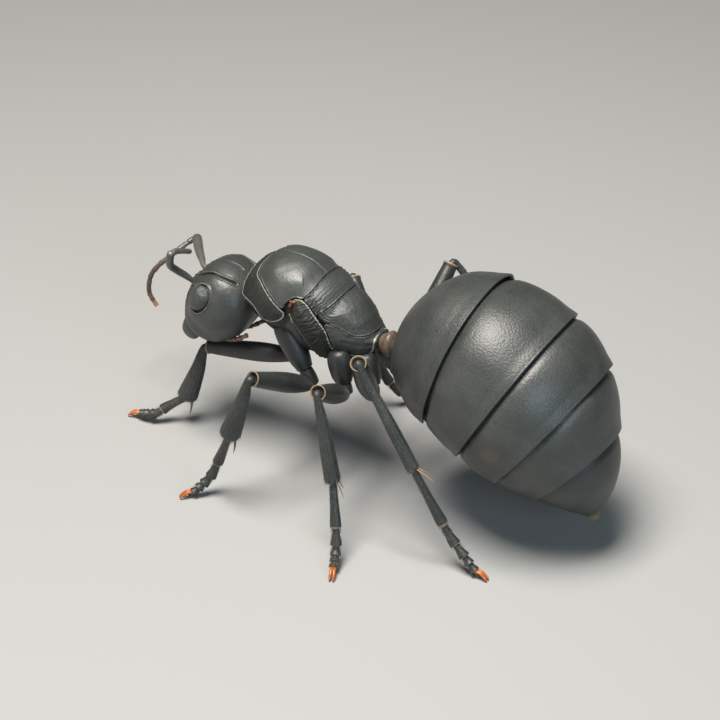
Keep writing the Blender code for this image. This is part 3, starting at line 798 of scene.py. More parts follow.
def in_head(down, left, out):
    """A point from the head's middle: along its axis to the mouth, to the left, and out of the face."""
    return HEAD_MIDDLE + HEAD_AXIS * down + LEFT * left + FACE * out


def eye_frame(sign):
    """Where an eye sits and which way it looks: its middle, outward, down the head, and across."""
    outward = unit(LEFT * sign * 0.93 + FACE * 0.36)
    down = unit(HEAD_AXIS - outward * (HEAD_AXIS @ outward))
    return in_head(-0.34, 1.24 * sign, 0.56), outward, down, np.cross(outward, down)


EYE_SIZES = (0.33, 0.50, 0.39)  # half sizes: outward, down the head, across it
# Places on the head as (down, left, out), or (down, left) where they follow the face.
SUTURE = (
    (-0.40, 0.55, 1.19), (-0.84, 0.69, 1.00), (-1.09, 0.71, 0.81), (-1.33, 0.75, 0.40), (-1.46, 0.66, -0.07)
)
BROW = ((0.22, 0.24), (0.05, 0.30), (-0.20, 0.36), (-0.48, 0.40))  # the ridge beside each socket
SOCKET = (-0.04, 0.50, 1.20)
SHIELD = ((0.30, 0.00), (0.34, 0.22), (0.56, 0.46), (0.95, 0.66), (1.40, 0.74), (1.50, 0.40), (1.50, 0.00))
JAW_HINGE, FACE_HOLLOW = (1.22, 0.84, 0.36), (0.22, 0.88, 1.02)

turn = np.linspace(0.04, math.pi - 0.06, 260)
down = -np.cos(turn)
swell = (1 - np.abs(down) ** LONG_ROUNDNESS) ** (1 / LONG_ROUNDNESS)
cheeks = swell + 0.17 * ease(down, 0.45, 0.80) * (1 - ease(down, 0.88, 1.0))  # full over the jaw hinges
narrow = 1 - 0.24 * np.maximum(down, 0) ** 1.3
centres = HEAD_MIDDLE + HEAD_AXIS * (down * HEAD_LENGTH)[:, None]
capsule, faces = skin(rings(
    centres, LEFT, FACE, HEAD_WIDTH * cheeks * narrow, HEAD_FACE * swell, HEAD_THROAT * swell,
    480, CROSS_ROUNDNESS,
))
faces = facing_out(capsule, faces)
normals = normals_of(capsule, faces)
off = capsule - HEAD_MIDDLE
local = np.stack([off @ HEAD_AXIS, np.abs(off @ LEFT), off @ FACE], -1)
front = ease(local[:, 2], 0.0, 0.3)

relief = 0.0015 * noise(capsule, 0.25, 40) + 0.004 * noise(capsule, 0.9, 41)

# The suture: a sharp groove with a painted highlight along the crest on its inner side and painted shade on
# its floor, fading out behind the head.
far, way = to_path(local, along(SUTURE, np.linspace(0, 1, 25)))
fading = ease(local[:, 2], -0.25, 0.15)
relief += (0.022 * bell(far - 0.080, 0.036) - 0.130 * bell(far, 0.035)) * fading
crest_highlight = (far > 0.058) & (far < 0.078) & (way[:, 1] < 0) & (fading > 0.4)
groove_floor_shade = (far < 0.038) & (fading > 0.3)

# The frontal line down the middle, then each socket's raised ring and its brow.
relief -= 0.05 * bell(local[:, 1], 0.024) * ease(-local[:, 0], 0.1, 0.5) * front
far = np.linalg.norm(local - SOCKET, axis=1)
relief += 0.05 * bell(far - 0.22, 0.05) - 0.16 * bell(far, 0.13)
far, _ = to_path(local[:, :2], along(BROW, np.linspace(0, 1, 20)))
relief += 0.05 * bell(far, 0.045) * front

# The shield over the mouth: a raised plate inside a fine groove, with a low keel.
shield = seam(SHIELD)
far, _ = to_path(local[:, :2], shield)
half_shield = np.vstack([shield, (SHIELD[-1][0], -0.01), (SHIELD[0][0], -0.01)])
depth = np.where(inside(local[:, :2], half_shield), far, -far)
relief += (0.030 * ease(depth, 0, 0.12) - 0.030 * bell(depth, 0.028)) * front
relief += 0.012 * bell(local[:, 1], 0.05) * ease(depth, 0, 0.1) * front

# Full over the jaw's hinge and hollow between shield and eye. The eye's groove has a raised ring.
far = np.linalg.norm((local - JAW_HINGE) * (0.8, 1, 1), axis=1)
relief += 0.05 * bell(far, 0.36)
relief -= 0.17 * bell(np.linalg.norm(local - FACE_HOLLOW, axis=1), 0.45)
for _, sign in SIDES:
    middle, outward, along_eye, across_eye = eye_frame(sign)
    off = capsule - middle
    ring = np.hypot(off @ along_eye / EYE_SIZES[1], off @ across_eye / EYE_SIZES[2])
    near = ease(off @ outward, -0.5, -0.3)
    relief += (0.030 * bell(ring - 1.17, 0.07) - 0.06 * bell(ring - 1.0, 0.06)) * near
    # The ring's crest gets the painted highlight too.
    crest_highlight |= (np.abs(ring - 1.15) < 0.032) & (near > 0.5)
capsule = capsule + normals * relief[:, None]
# Crest faces get the painted highlight, and the groove's floor gets the painted shade.
which = crest_highlight[faces].all(1) + 2 * groove_floor_shade[faces].all(1)
fit(add_piece("head_capsule", capsule, faces, [BLACK_CHITIN, RIM_HIGHLIGHT_CHITIN, SHADED_MEMBRANE], which), "shell", "head")


# Neck: a short stalk of tough membrane with soft ringed folds, near black with the underside's painted shade.
# It grows out of the trunk's front end under the collar, and carries the head by a narrow joint at the rear
# of the capsule.

NECK = (  # forward, up, half width
    (4.60, 0.55, 0.50), (4.90, 0.49, 0.52), (5.15, 0.42, 0.53), (5.40, 0.33, 0.49), (5.65, 0.22, 0.42),
)
NECK_ROWS, FOLD_ROWS, FOLD_HEIGHT = 60, 6, 0.035  # rows in all and to each fold, and a share of the width
NECK_FLATNESS = 0.74  # its height as a part of its width
rows = along(NECK, np.linspace(0, 1, NECK_ROWS))
folds = 1 + FOLD_HEIGHT * np.sin(np.arange(NECK_ROWS) * 2 * np.pi / FOLD_ROWS)
centres = np.stack([rows[:, 0], 0 * rows[:, 0], rows[:, 1]], -1)
height = rows[:, 2] * NECK_FLATNESS * folds
points, faces = skin(rings(centres, LEFT, (0, 0, 1), rows[:, 2] * folds, height, height, 64))
fit(add_piece("neck_stalk", points, facing_out(points, faces), [UNDERSIDE_SHADE_CHITIN]), "shell")


# Compound eyes: many small clear domes over a dark ground, each one dome of hard cuticle. They stand
# in a groove in the capsule.

# Clear hard cuticle over dark pigment: the glossiest surface on her, so each dome has its own glint.
EYE_CHITIN = chitin("faceted_eye_chitin", "#2C302F", "#434746", 0.26, 0.12, 0.0005)
DOME, DIP = 0.006, 0.005  # how far a facet bulges and how deep its ditch is, as parts of the eye's size
LENS_EDGE = 0.45  # how far in from its ditch a facet starts to bulge
BURIED = -0.25  # facets further in than this lie under the capsule
sphere = bmesh.new()
bmesh.ops.create_icosphere(sphere, subdivisions=5, radius=1.0)
for side, sign in SIDES:
    middle, outward, along_eye, across_eye = eye_frame(sign)
    axes = np.array([outward * EYE_SIZES[0], along_eye * EYE_SIZES[1], across_eye * EYE_SIZES[2]])
    points, faces = [], []
    for vertex in sphere.verts:
        pole = np.array(vertex.co)
        if pole[0] < BURIED:
            continue
        corners = np.array([face.calc_center_median() for face in vertex.link_faces])
        first = np.cross(pole, corners[0])
        second = np.cross(pole, first)
        corners = corners[np.argsort(np.arctan2(corners @ second, corners @ first))]
        start, count = len(points), len(corners)
        inner = corners + (pole - corners) * LENS_EDGE
        points += [*(corners * (1 - DIP)), *(inner * (1 + 0.55 * DOME)), pole * (1 + DOME)]
        for i in range(count):
            j = (i + 1) % count
            a, b, c, d = start + i, start + j, start + count + i, start + count + j
            faces += [(a, b, c), (b, d, c), (c, d, start + 2 * count)]
    points = np.array(points)
    points[:, 2] *= 1 - 0.16 * points[:, 1]  # the eye is narrower below
    points = middle + points @ axes
    faces = facing_out(points, np.array(faces))
    fit(add_piece("eye_%s_facets" % side, points, faces, [EYE_CHITIN]), "eye", "eye_" + side)
sphere.free()


# Jaws: two curved blades of thick cuticle hinged at the corners of the mouth, with worn teeth on the
# inner margin that meet in front.

# The thickest cuticle on her, pitted and a little brown.
JAW_CHITIN = chitin("jaw_chitin", "#292B29", "#42433F", 0.42, 0.045, 0.010)
# Zinc-hardened teeth, polished by digging in wood: smooth, with red-brown edges.
TOOTH_HORN = chitin("tooth_horn", "#2A1A12", "#6A4024", 0.30, 0.07, 0.001)


def limb(path, profile, turns=28, count=70, flatten=1.0, across=None, cup=(), flutes=(0, 0.0)):
    """A tapering tube along a path. The profile is rows of (fraction of the way, half thickness).

    A cup of the same kind of rows hollows its far end, and flutes are a number of grooves and their
    depth. Also gives each face's fraction of the way."""
    shape = along(profile, np.linspace(0, 1, 10 * len(profile)))
    where = np.union1d(np.linspace(0, 1, count), [row[0] for row in profile])
    half = np.interp(where, shape[:, 0], shape[:, 1])
    if cup:
        where = np.append(where, [row[0] for row in cup])
        half = np.append(half, [row[1] for row in cup])
    path = np.asarray(path, float)
    centres = along(path, where)
    ahead = along(path, np.minimum(where + 0.01, 1)) - along(path, np.maximum(where - 0.01, 0))
    ahead /= np.linalg.norm(ahead, axis=1)[:, None]
    sideways = []
    now = np.cross(ahead[0], (0, 0, 1)) if across is None else np.asarray(across, float)
    for way in ahead:
        now = unit(now - way * (now @ way))
        sideways.append(now)
    sideways = np.array(sideways)
    over = np.cross(sideways, ahead)
    grid = rings(centres, sideways, over, half, half * flatten, half * flatten, turns)
    if flutes[0]:
        wave = 1 + flutes[1] * np.cos(flutes[0] * 2 * np.pi * np.arange(turns) / turns)
        grid = centres[:, None] + (grid - centres[:, None]) * wave[:, None]
    points, faces = skin(grid)
    a, b, c = (points[faces[:, i]] for i in range(3))
    ring = np.minimum(faces.min(1) // turns, len(where) - 1)
    axis = centres[ring]
    if (np.cross(b - a, c - a) * ((a + b + c) / 3 - axis)).sum() < 0:
        faces = faces[:, ::-1]
    return points, faces, where[ring]


def joined(*skins):
    """Several skins as one, with a number for each face that says which it came from."""
    points, faces, source, first = [], [], [], 0
    for number, (some_points, some_faces) in enumerate(skins):
        points.append(some_points)
        faces.append(some_faces + first)
        source.append(np.full(len(some_faces), number))
        first += len(some_points)
    return np.vstack(points), np.vstack(faces), np.concatenate(source)


JAW_PATH = ((0.98, 0.68, 0.24), (1.40, 0.74, 0.27), (1.78, 0.60, 0.28), (2.00, 0.22, 0.28))  # on the head
BLADE = ((0, 0.26), (0.2, 0.27), (0.45, 0.235), (0.7, 0.205), (0.88, 0.185), (0.96, 0.15), (1, 0.08))
BLADE_DEPTH = 1.6  # from face to throat, as a part of its thickness
TOOTH = ((0, 0.09), (0.5, 0.07), (1, 0.012))
TOOTH_PLACES = (-1.0, -0.5, 0.0, 0.5, 1.0)  # from the throat to the face
for side, sign in SIDES:
    path = [in_head(down, left * sign, out) for down, left, out in JAW_PATH]
    skins = [limb(path, BLADE, 36, 80, BLADE_DEPTH, LEFT)[:2]]
    for place in TOOTH_PLACES:
        root = in_head(1.90 - 0.14 * abs(place), 0.30 * sign, 0.28 + 0.20 * place)
        tip = root + HEAD_AXIS * 0.16 - LEFT * sign * 0.23 + FACE * 0.02 * place
        skins.append(limb([root, (root + tip) / 2 + HEAD_AXIS * 0.03, tip], TOOTH, 12, 10)[:2])
    points, faces, source = joined(*skins)
    blade = add_piece("mandible_%s_blade" % side, points, faces, [JAW_CHITIN, TOOTH_HORN], source > 0)
    fit(blade, "jaw", "mandible_" + side)

# A leathery lip closes the mouth between the shield and the teeth, near black with the underside's painted
# shade.
LIP_PATH = [in_head(1.30, 0, 0.50), in_head(1.58, 0, 0.42), in_head(1.76, 0, 0.30)]
LIP_HALVES = ((0, 0.40), (0.5, 0.42), (0.85, 0.34), (1, 0.14))
points, faces, _ = limb(LIP_PATH, LIP_HALVES, 40, 40, 0.36, LEFT)
fit(add_piece("mouth_lip", points, faces, [UNDERSIDE_SHADE_CHITIN]), "shell")


# Palps: the mouth's small feelers, jointed and soft skinned, swept back under the head. Each side has
# one long palp and one short one.

# Soft thin skin: pinkish brown and nearly matt.
PALP_SKIN = chitin("palp_skin", "#5A4036", "#8A6A5A", 0.5, 0.05, 0.003)


def chain(path, joints, halves, turns=18, rim=1.18, neck=0.62, per_joint=16):
    """A row of small joints along a path, each narrow at its root and flared round a cup at its end.

    Joints are the fractions of the path between them, and halves their half thicknesses. Also gives the
    joint that each face belongs to, and its fraction of the way along that joint."""
    skins = []
    for start, end, size in zip(joints[:-1], joints[1:], halves):
        piece = along(path, np.linspace(start, end, 6))
        profile = (
            (0, neck * size), (0.08, 0.85 * size), (0.45, size), (0.82, rim * size),
            (0.94, rim * 1.04 * size), (1, 0.98 * size),
        )
        skins.append(limb(piece, profile, turns, per_joint, cup=((0.985, 0.8 * size), (0.93, 0.5 * size))))
    points, faces, source = joined(*[one[:2] for one in skins])
    return points, faces, source, np.concatenate([one[2] for one in skins])


LONG_PALP = (  # forward, left, up
    (6.60, 0.32, -1.50), (6.25, 0.40, -1.50), (5.95, 0.46, -1.42), (5.60, 0.52, -1.24), (5.25, 0.56, -0.98)
)
SHORT_PALP = ((6.55, 0.16, -1.46), (6.30, 0.18, -1.58), (6.05, 0.20, -1.62))
for side, sign in SIDES:
    skins = [
        chain(np.array(path) * (1, sign, 1), np.linspace(0, 1, joints + 1), [half] * joints)[:2]
        for path, joints, half in ((LONG_PALP, 6, 0.075), (SHORT_PALP, 4, 0.055))
    ]
    points, faces, _ = joined(*skins)
    fit(add_piece("palp_%s_joints" % side, points, faces, [PALP_SKIN]), "palp", "palp_" + side)


# Feelers: a long first joint that swells towards its end, an elbow, and a whip of eleven short joints
# that run from dark brown to orange at the tip.

# Both feelers' paths as (forward, left, up), and the scapes' (fraction of the way, half thickness).
SCAPE = {
    "left": (
        (7.34, 0.50, 0.48), (7.57, 0.71, 0.80), (7.75, 1.00, 1.12), (7.76, 1.34, 1.52), (7.47, 1.66, 2.22)
    ),
    "right": (
        (7.36, -0.50, 0.46), (7.66, -0.54, 0.52), (7.94, -0.84, 0.55), (8.44, -1.42, 0.48),
        (9.13, -2.31, 0.38),
    ),
}
WHIP = {
    "left": (
        (7.43, 1.60, 2.24), (7.75, 0.73, 1.73), (8.07, 0.04, 1.29), (8.25, -0.45, 0.98), (8.44, -0.82, 0.73)
    ),
    "right": (
        (9.16, -2.27, 0.38), (9.38, -1.91, 0.19), (9.70, -1.39, -0.13), (9.98, -1.12, -0.41),
        (10.22, -0.96, -0.78), (10.29, -0.86, -1.14), (10.28, -0.82, -1.48), (10.16, -0.80, -1.70),
        (9.98, -0.83, -1.97),
    ),
}
SCAPE_PROFILE = {
    "left": (
        (0, 0.12), (0.04, 0.13), (0.09, 0.09), (0.25, 0.115), (0.6, 0.130), (0.88, 0.135), (0.97, 0.120),
        (1, 0.08),
    ),
    "right": (
        (0, 0.11), (0.04, 0.12), (0.1, 0.08), (0.35, 0.095), (0.65, 0.145), (0.92, 0.175), (0.975, 0.16),
        (1, 0.11),
    ),
}
WHIP_JOINTS = 11
WHIP_HALVES = [0.092 - 0.002 * number for number in range(WHIP_JOINTS)]
LAST_GREY_JOINT, LAST_BROWN_JOINT = 2, 9
# The scape is paler grey than the head, partly from its close coat of hairs and partly as a painted sheen;
# the whip's first joints share it.
SCAPE_HAIR_SHEEN_CHITIN = chitin("scape_chitin_painted_sheen", "#3C3F3C", "#5E605B", 0.38, 0.05, 0.006)
# The whip has less pigment towards its tip: brown with a soft light, then orange and a little clear.
WHIP_CHITIN = chitin("whip_chitin", "#382C25", "#66503F", 0.45, 0.05, 0.004)
WHIP_TIP_CHITIN = chitin("whip_tip_chitin", "#7A4C30", "#B98259", 0.45, 0.05, 0.003)
for side, _ in SIDES:
    points, faces, _ = limb(SCAPE[side], SCAPE_PROFILE[side], 28, 80)
    fit(add_piece("scape_%s_shaft" % side, points, faces, [SCAPE_HAIR_SHEEN_CHITIN]), "limb", "scape_" + side)
    points, faces, source, _ = chain(WHIP[side], np.linspace(0, 1, WHIP_JOINTS + 1), WHIP_HALVES, 20, 1.13)
    tan = (source > LAST_GREY_JOINT).astype(int) + (source > LAST_BROWN_JOINT)
    finishes = [SCAPE_HAIR_SHEEN_CHITIN, WHIP_CHITIN, WHIP_TIP_CHITIN]
    whip = add_piece("funiculus_%s_joints" % side, points, faces, finishes, tan)
    fit(whip, "feeler", "funiculus_" + side)


# Legs: six, each with a stout hip, a small second joint, a thigh that ends in a pale ringed cup, a
# fluted shin with spurs, five foot joints and two amber claws over a soft pad.

LEGS = {  # hip, ends of the hip and of the second joint, knee, ankle, then the foot to the floor
    "front_left": (
        (3.60, 0.90, 0.30), (2.62, 1.02, -1.22), (2.30, 1.06, -1.76), (2.95, 3.90, -0.10),
        (3.90, 3.85, -2.70), ((4.54, 3.60, -4.10), (4.85, 3.72, -4.85), (5.28, 4.11, -5.40)),
    ),
    "front_right": (
        (3.90, -0.90, 0.20), (3.75, -0.55, -1.30), (3.65, -0.30, -1.78), (7.19, 0.17, -2.25),
        (7.96, 0.46, -4.50), ((8.57, 0.79, -4.90), (8.95, 1.05, -5.20), (9.56, 1.11, -5.38)),
    ),
    "middle_left": (
        (1.45, 0.82, -0.20), (1.12, 1.00, -1.30), (0.98, 1.12, -1.66), (0.42, 3.90, 0.20),
        (-0.30, 4.15, -2.90), ((-0.72, 4.69, -4.40), (-0.86, 4.95, -5.05), (-1.00, 5.32, -5.38)),
    ),
    "middle_right": (
        (1.45, -0.82, -0.20), (1.12, -1.00, -1.30), (1.05, -1.12, -1.66), (3.02, -2.86, 0.28),
        (2.65, -3.57, -2.83), ((2.20, -3.90, -4.30), (1.80, -4.30, -5.00), (1.25, -4.80, -5.38)),
    ),
    "hind_left": (
        (0.62, 0.52, -0.25), (0.16, 0.76, -1.25), (0.08, 0.92, -1.60), (-0.75, 3.30, 1.40),
        (-2.90, 3.40, -2.00), ((-3.99, 3.11, -4.20), (-4.60, 3.13, -4.90), (-5.09, 3.17, -5.38)),
    ),
    "hind_right": (
        (0.62, -0.52, -0.25), (0.16, -0.76, -1.25), (0.08, -0.92, -1.60), (-0.30, -3.90, 1.30),
        (-3.10, -4.50, -1.50), ((-4.20, -4.75, -3.80), (-4.60, -4.85, -4.80), (-4.90, -4.90, -5.38)),
    ),
}
# Half thicknesses along each part of a leg, as (fraction of the way, half thickness).
COXA = ((0, 0.26), (0.15, 0.38), (0.4, 0.43), (0.7, 0.38), (0.9, 0.30), (0.97, 0.28), (1, 0.22))
TROCHANTER = ((0, 0.18), (0.15, 0.23), (0.5, 0.26), (0.85, 0.25), (1, 0.18))
FEMUR = (
    (0, 0.12), (0.05, 0.15), (0.10, 0.165), (0.2, 0.26), (0.45, 0.345), (0.8, 0.28), (0.93, 0.25),
    (0.975, 0.265), (0.992, 0.27), (1, 0.262),
)
KNEE_CUP = ((0.997, 0.240), (0.960, 0.215), (0.92, 0.13))
KNEE_RIM = 0.965  # the thigh beyond this is the pale ring
TIBIA = {
    "front": (
        (0, 0.11), (0.03, 0.14), (0.09, 0.13), (0.25, 0.185), (0.6, 0.285), (0.88, 0.35), (0.96, 0.355),
        (1, 0.28),
    ),
    "middle": (
        (0, 0.11), (0.03, 0.14), (0.09, 0.12), (0.25, 0.165), (0.6, 0.235), (0.88, 0.262), (0.96, 0.262),
        (1, 0.21),
    ),
    "hind": (
        (0, 0.11), (0.03, 0.13), (0.09, 0.112), (0.25, 0.14), (0.6, 0.195), (0.88, 0.215), (0.96, 0.212),
        (1, 0.17),
    ),
}
ANKLE_CUP = ((0.99, 0.17), (0.96, 0.12))
FLUTES = (14, 0.035)  # grooves round each shin, and their depth as a part of its thickness
FOOT_LENGTHS = (0, 0.55, 0.745, 0.86, 0.93, 1.0)  # where each of the five foot joints ends
FOOT_HALVES = (0.140, 0.142, 0.140, 0.132, 0.125)
SPURS = {  # lean to the side and length of each spur
    "front": ((0.2, 0.62),), "middle": ((0.35, 0.60), (-0.5, 0.34)), "hind": ((0.35, 0.78), (-0.3, 0.52))
}
SPLAY = {"front": 0.25, "middle": 0.35, "hind": 0.85}  # how far the spurs stand off the shin
SPUR_BULK = {"front": 1.5, "middle": 0.75, "hind": 0.75}  # the front spur is a stout comb for the feelers
CLAW = ((0, 0.055), (0.3, 0.058), (0.7, 0.040), (1, 0.01))
PAD = ((0, 0.07), (0.5, 0.075), (0.8, 0.06), (1, 0.02))
CLAW_DROP, CLAW_TIP, PAD_UP, STANDING = 0.13, 0.012, 0.10, 0.001  # mm above the floor
# Thigh, shin and foot: black cuticle roughened by the hairs' sockets, so its light is long and dull.
LIMB_CHITIN = chitin("limb_chitin", "#222625", "#363937", 0.42, 0.05, 0.007, index=1.48)
# The bare rim of a joint, thin enough to show tan.
PALE_RIM = chitin("pale_joint_rim", "#66543F", "#A08A6C", 0.45, 0.06, 0.002)
# Clear brown horn, a little glossy.
SPUR_HORN = chitin("spur_horn", "#574026", "#8E6E44", 0.4, 0.05, 0.001)
# Hard amber horn without black pigment: the one bright colour on her, with a sharp glint.
CLAW_HORN = chitin("amber_claw_horn", "#8C4619", "#BE7438", 0.32, 0.09, 0.001)
# The pad between the claws is soft, sticky skin, dark and matt.
PAD_SKIN = chitin("foot_pad_skin", "#3A2E26", "#5E4C3E", 0.6, 0.05, 0.003)


def even(path, count=40):
    """The same path with its points an even distance apart."""
    fine = along(path, np.linspace(0, 1, 400))
    run = np.concatenate([[0], np.cumsum(np.linalg.norm(np.diff(fine, axis=0), axis=1))])
    return np.stack([np.interp(np.linspace(0, run[-1], count), run, fine[:, i]) for i in range(3)], -1)


def shin_path(second_end, knee, ankle):
    """The shin's head turns in the knee's cup and passes in front of its rim."""
    thigh, shin = unit(knee - second_end), unit(ankle - knee)
    turned = (knee + thigh * 0.07 + shin * 0.10, knee + thigh * 0.06 + shin * 0.45, knee + shin * 1.1)
    return even([knee - thigh * 0.10, *turned, ankle], 60)


for name, (hip, hip_end, second_end, knee, ankle, foot) in LEGS.items():
    pair = name.split("_")[0]
    hip, hip_end, second_end, knee, ankle = (np.array(p) for p in (hip, hip_end, second_end, knee, ankle))
    foot = [np.array(p) for p in foot]
    # The hip and second joint are drawn in the underside's painted shade.
    points, faces, _ = limb([hip, hip_end], COXA, 40, 50)
    fit(add_piece("coxa_%s_shell" % name, points, faces, [UNDERSIDE_SHADE_CHITIN]), "limb", "coxa_" + name)
    points, faces, _ = limb([hip_end - unit(second_end - hip_end) * 0.04, second_end], TROCHANTER, 32, 30)
    fit(add_piece("trochanter_%s_shell" % name, points, faces, [UNDERSIDE_SHADE_CHITIN]), "limb", "trochanter_" + name)

    thigh = unit(knee - second_end)
    points, faces, where = limb([second_end - thigh * 0.06, knee - thigh * 0.06], FEMUR, 36, 70, cup=KNEE_CUP)
    femur = add_piece("femur_%s_shell" % name, points, faces, [LIMB_CHITIN, PALE_RIM], where > KNEE_RIM)
    fit(femur, "limb", "femur_" + name)

    shin = unit(ankle - knee)
    path = shin_path(second_end, knee, ankle)
    skins = [limb(path, TIBIA[pair], 56, 90, cup=ANKLE_CUP, flutes=FLUTES)[:2]]
    backward = unit(np.array((-1, 0, 0)) + shin * shin[0])
    inward = np.cross(shin, backward)
    for lean, reach in SPURS[pair]:
        root = ankle - shin * 0.06 + backward * TIBIA[pair][-1][1] * 0.8 + inward * 0.12 * lean
        tip = root + unit(shin + backward * SPLAY[pair] + inward * lean * 0.3) * reach
        bend = (root + tip) / 2 + backward * 0.03
        spur = ((0, 0.034 * SPUR_BULK[pair]), (0.5, 0.024 * SPUR_BULK[pair]), (1, 0.005))
        skins.append(limb([root, bend, tip], spur, 10, 14)[:2])
    points, faces, source = joined(*skins)
    tibia = add_piece("tibia_%s_shell" % name, points, faces, [LIMB_CHITIN, SPUR_HORN], source > 0)
    fit(tibia, "limb", "tibia_" + name)

    path = even([ankle - shin * 0.03, *foot])
    points, faces, _, where = chain(path, FOOT_LENGTHS, FOOT_HALVES, 26, 1.32, 0.70, 30)
    tarsus = add_piece("tarsus_%s_joints" % name, points, faces, [LIMB_CHITIN, PALE_RIM], where > 0.9)
    fit(tarsus, "limb", "tarsus_" + name)

    end = foot[-1]
    ahead = unit((foot[-1] - foot[-2]) * (1, 1, 0))
    aside = np.cross(ahead, (0, 0, 1))
    skins = []
    for hand in (1, -1):
        root = end - ahead * 0.03 + aside * 0.035 * hand
        crown = end + ahead * 0.20 + aside * 0.050 * hand + np.array((0, 0, 0.04))
        drop = end + ahead * 0.42 + aside * 0.062 * hand
        tip = end + ahead * 0.50 + aside * 0.055 * hand
        drop[2] = FLOOR + CLAW_DROP
        tip[2] = FLOOR + CLAW_TIP
        skins.append(limb([root, crown, drop, tip], CLAW, 16, 30)[:2])
    pad = end + ahead * 0.12
    pad[2] = FLOOR + PAD_UP
    skins.append(limb([end, pad, pad + ahead * 0.08], PAD, 18, 16, 0.8)[:2])
    points, faces, source = joined(*skins)
    points[:, 2] = np.maximum(points[:, 2], FLOOR + STANDING)
    claws = add_piece("claws_%s_pair" % name, points, faces, [CLAW_HORN, PAD_SKIN], source > 1)
    fit(claws, "claw", "claws_" + name)


# Hairs: hollow chitin bristles, each set in its own socket. They lie close along the shins, feet and
# feelers and catch the light as a silvery bloom. A few long ones stand on the head, and a fringe rings the
# gaster's tip.

# Bare chitin without wax, brown with a silvery light along its length.
HAIR = chitin("silver_brown_hair", "#4A4741", "#857F74", 0.38, 0.2, 0.0)
# The fringe at the gland has hardly any pigment, and shines gold.
GOLD_HAIR = chitin("golden_hair", "#7A6238", "#C0A468", 0.38, 0.2, 0.0)
SPREAD_OF_ROOT = 0.003  # width of a hair's patch in the OFBake map, at its root's place
# Half thicknesses at the root in mm, about twice a real hair's so that they show.
SHIN_HAIR, FOOT_HAIR, FINE_HAIR, WHIP_HAIR = 0.0042, 0.0050, 0.0040, 0.0035
random = np.random.default_rng(7)


def add_hairs(name, coat, half, finish, finish_slot):
    """Three-sided spikes as one mesh. A coat is their roots, their directions, their lengths, and the
    places of the roots on an unwrap of the skin."""
    roots, ways, lengths, places = coat
    ways = ways / np.linalg.norm(ways, axis=1)[:, None]
    first = np.cross(ways, (0.31, 0.52, 0.79))
    first /= np.linalg.norm(first, axis=1)[:, None]
    second = np.cross(ways, first)
    lengths = lengths[:, None]
    middles = roots + ways * lengths * 0.5
    tips = roots + ways * lengths
    corners = [(math.cos(a), math.sin(a)) for a in (0.0, 2.094, 4.189)]
    points = [roots + (first * c + second * s) * half for c, s in corners]
    points += [middles + (first * c + second * s) * half * 0.7 for c, s in corners] + [tips]
    points = np.stack(points, 1)
    pattern = []
    for i in range(3):
        j = (i + 1) % 3
        pattern += [(i, j, 3 + j), (i, 3 + j, 3 + i), (3 + i, 3 + j, 6)]
    faces = (np.array(pattern)[None] + 7 * np.arange(len(roots))[:, None, None]).reshape(-1, 3)
    piece = add_piece(name, points.reshape(-1, 3), faces, [finish])
    patch = np.array([(-1, -1), (1, -1), (0, -1), (-0.6, 0), (0.6, 0), (0, 0.2), (0, 1)]) * SPREAD_OF_ROOT / 2
    spots = (np.clip(places, 0.01, 0.99)[:, None] + patch[None]).reshape(-1, 2)
    bake = piece.data.uv_layers.new(name="OFBake")
    bake.data.foreach_set("uv", spots[faces.ravel()].astype(np.float32).ravel())
    fit(piece, finish_slot)


def limb_hairs(path, profile, count, span=(0.03, 0.98), lift=0.25, length=0.13):
    """Roots, directions, lengths and unwrapped places for hairs that lie along a limb."""
    where = random.uniform(*span, count)
    turn = random.uniform(0, 2 * np.pi, count)
    shape = along(profile, np.linspace(0, 1, 10 * len(profile)))
    half = np.interp(where, shape[:, 0], shape[:, 1])
    ahead = along(path, np.minimum(where + 0.01, 1)) - along(path, np.maximum(where - 0.01, 0))
    ahead /= np.linalg.norm(ahead, axis=1)[:, None]
    side = np.cross(ahead, (0.2, 0.1, 0.97))
    side /= np.linalg.norm(side, axis=1)[:, None]
    out = side * np.cos(turn)[:, None] + np.cross(side, ahead) * np.sin(turn)[:, None]
    roots = along(path, where) + out * half[:, None] * 0.97
    ways = ahead + out * random.uniform(0.4 * lift, 1.4 * lift, count)[:, None]
    ways += random.normal(0, 0.10, (count, 3))
    return roots, ways, random.uniform(0.6, 1.3, count) * length, np.stack([where, turn / (2 * np.pi)], -1)


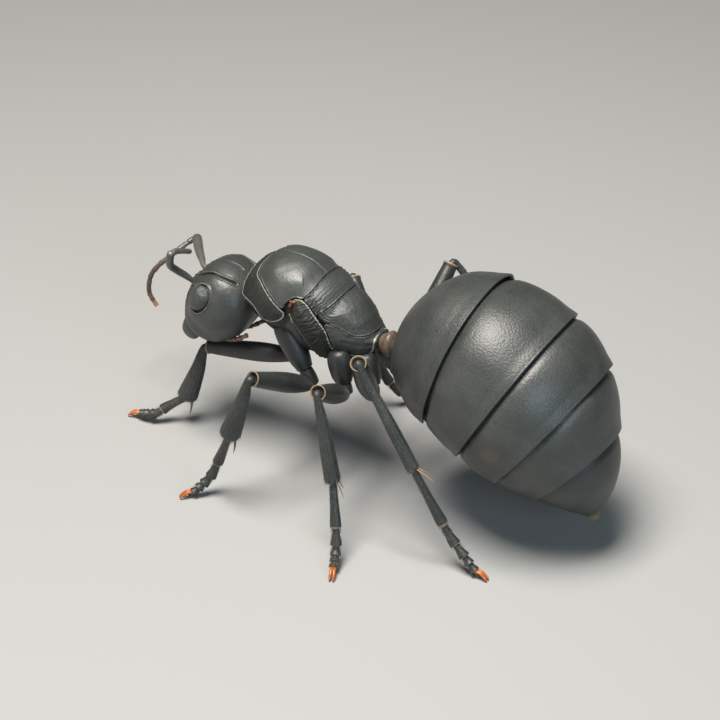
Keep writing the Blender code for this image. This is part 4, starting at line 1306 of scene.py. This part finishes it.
FOOT_SKIN = ((0, 0.12), (0.3, 0.145), (0.6, 0.155), (0.9, 0.15), (1, 0.14))
WHIP_SKIN = ((0, 0.09), (1, 0.075))
BARE_SOLE = 0.05  # mm above the floor with no hairs
for name, (_, _, second_end, knee, ankle, foot) in LEGS.items():
    pair = name.split("_")[0]
    second_end, knee, ankle = np.array(second_end), np.array(knee), np.array(ankle)
    thigh, shin = unit(knee - second_end), unit(ankle - knee)
    path = shin_path(second_end, knee, ankle)
    shin_hairs = limb_hairs(path, TIBIA[pair], 1700, (0.06, 0.99), 0.20, 0.11)
    end_fringe = limb_hairs(path, TIBIA[pair], 70, (0.93, 0.99), 0.5, 0.17)
    coat = [np.concatenate(parts) for parts in zip(shin_hairs, end_fringe)]
    add_hairs("tibia_%s_hairs" % name, coat, SHIN_HAIR, HAIR, "limb")
    coat = limb_hairs(even([ankle - shin * 0.03, *foot]), FOOT_SKIN, 700, (0.04, 0.97), 0.35, 0.11)
    coat = [part[coat[0][:, 2] > FLOOR + BARE_SOLE] for part in coat]
    add_hairs("tarsus_%s_hairs" % name, coat, FOOT_HAIR, HAIR, "limb")
    path = np.array([second_end - thigh * 0.06, knee - thigh * 0.06])
    coat = limb_hairs(path, FEMUR, 160, (0.2, 0.95), 0.2, 0.09)
    add_hairs("femur_%s_hairs" % name, coat, FINE_HAIR, HAIR, "limb")
for side, _ in SIDES:
    coat = limb_hairs(SCAPE[side], SCAPE_PROFILE[side], 320, (0.15, 0.97), 0.2, 0.08)
    add_hairs("scape_%s_hairs" % side, coat, FINE_HAIR, HAIR, "limb")
    coat = limb_hairs(WHIP[side], WHIP_SKIN, 700, (0.03, 0.99), 0.4, 0.07)
    add_hairs("funiculus_%s_hairs" % side, coat, WHIP_HAIR, HAIR, "feeler")

# Single bristles stand on the head's crown.
count = 18
down, aside = random.uniform(-1.35, 0.2, count), random.uniform(-0.7, 0.7, count)
swell = (1 - np.abs(down / HEAD_LENGTH) ** LONG_ROUNDNESS) ** (1 / LONG_ROUNDNESS)
across = np.abs(aside / (HEAD_WIDTH * swell))
out = HEAD_FACE * swell * (1 - across**CROSS_ROUNDNESS) ** (1 / CROSS_ROUNDNESS)
roots = np.array([in_head(*row) for row in np.stack([down, aside, out - 0.01], -1)])
ways = FACE + HEAD_AXIS * random.uniform(-0.5, 0.1, count)[:, None] + LEFT * (aside * 0.6)[:, None]
places = np.stack([down / 4 + 0.5, aside / 4 + 0.5], -1)
coat = roots, ways, random.uniform(0.08, 0.20, count), places
add_hairs("crown_bristles", coat, FINE_HAIR, HAIR, "shell")

# A round fringe guards the gland at the gaster's tip.
TIP = np.array((-7.80, 0.0, -4.17))
TIP_WAY = unit(np.array((-0.18, 0.0, -0.96)))
count = 150
turn = random.uniform(0, 2 * np.pi, count)
ring = np.stack([np.cos(turn), np.sin(turn), 0 * turn], -1)
roots = TIP + ring * random.uniform(0.08, 0.17, count)[:, None] + np.array((0, 0, 0.03))
ways = TIP_WAY + ring * random.uniform(0.1, 0.5, count)[:, None]
places = np.stack([0.5 + 0.1 * np.cos(turn), 0.5 + 0.1 * np.sin(turn)], -1)
coat = roots, ways, random.uniform(0.08, 0.16, count), places
add_hairs("gland_fringe", coat, FOOT_HAIR, GOLD_HAIR, "shell")
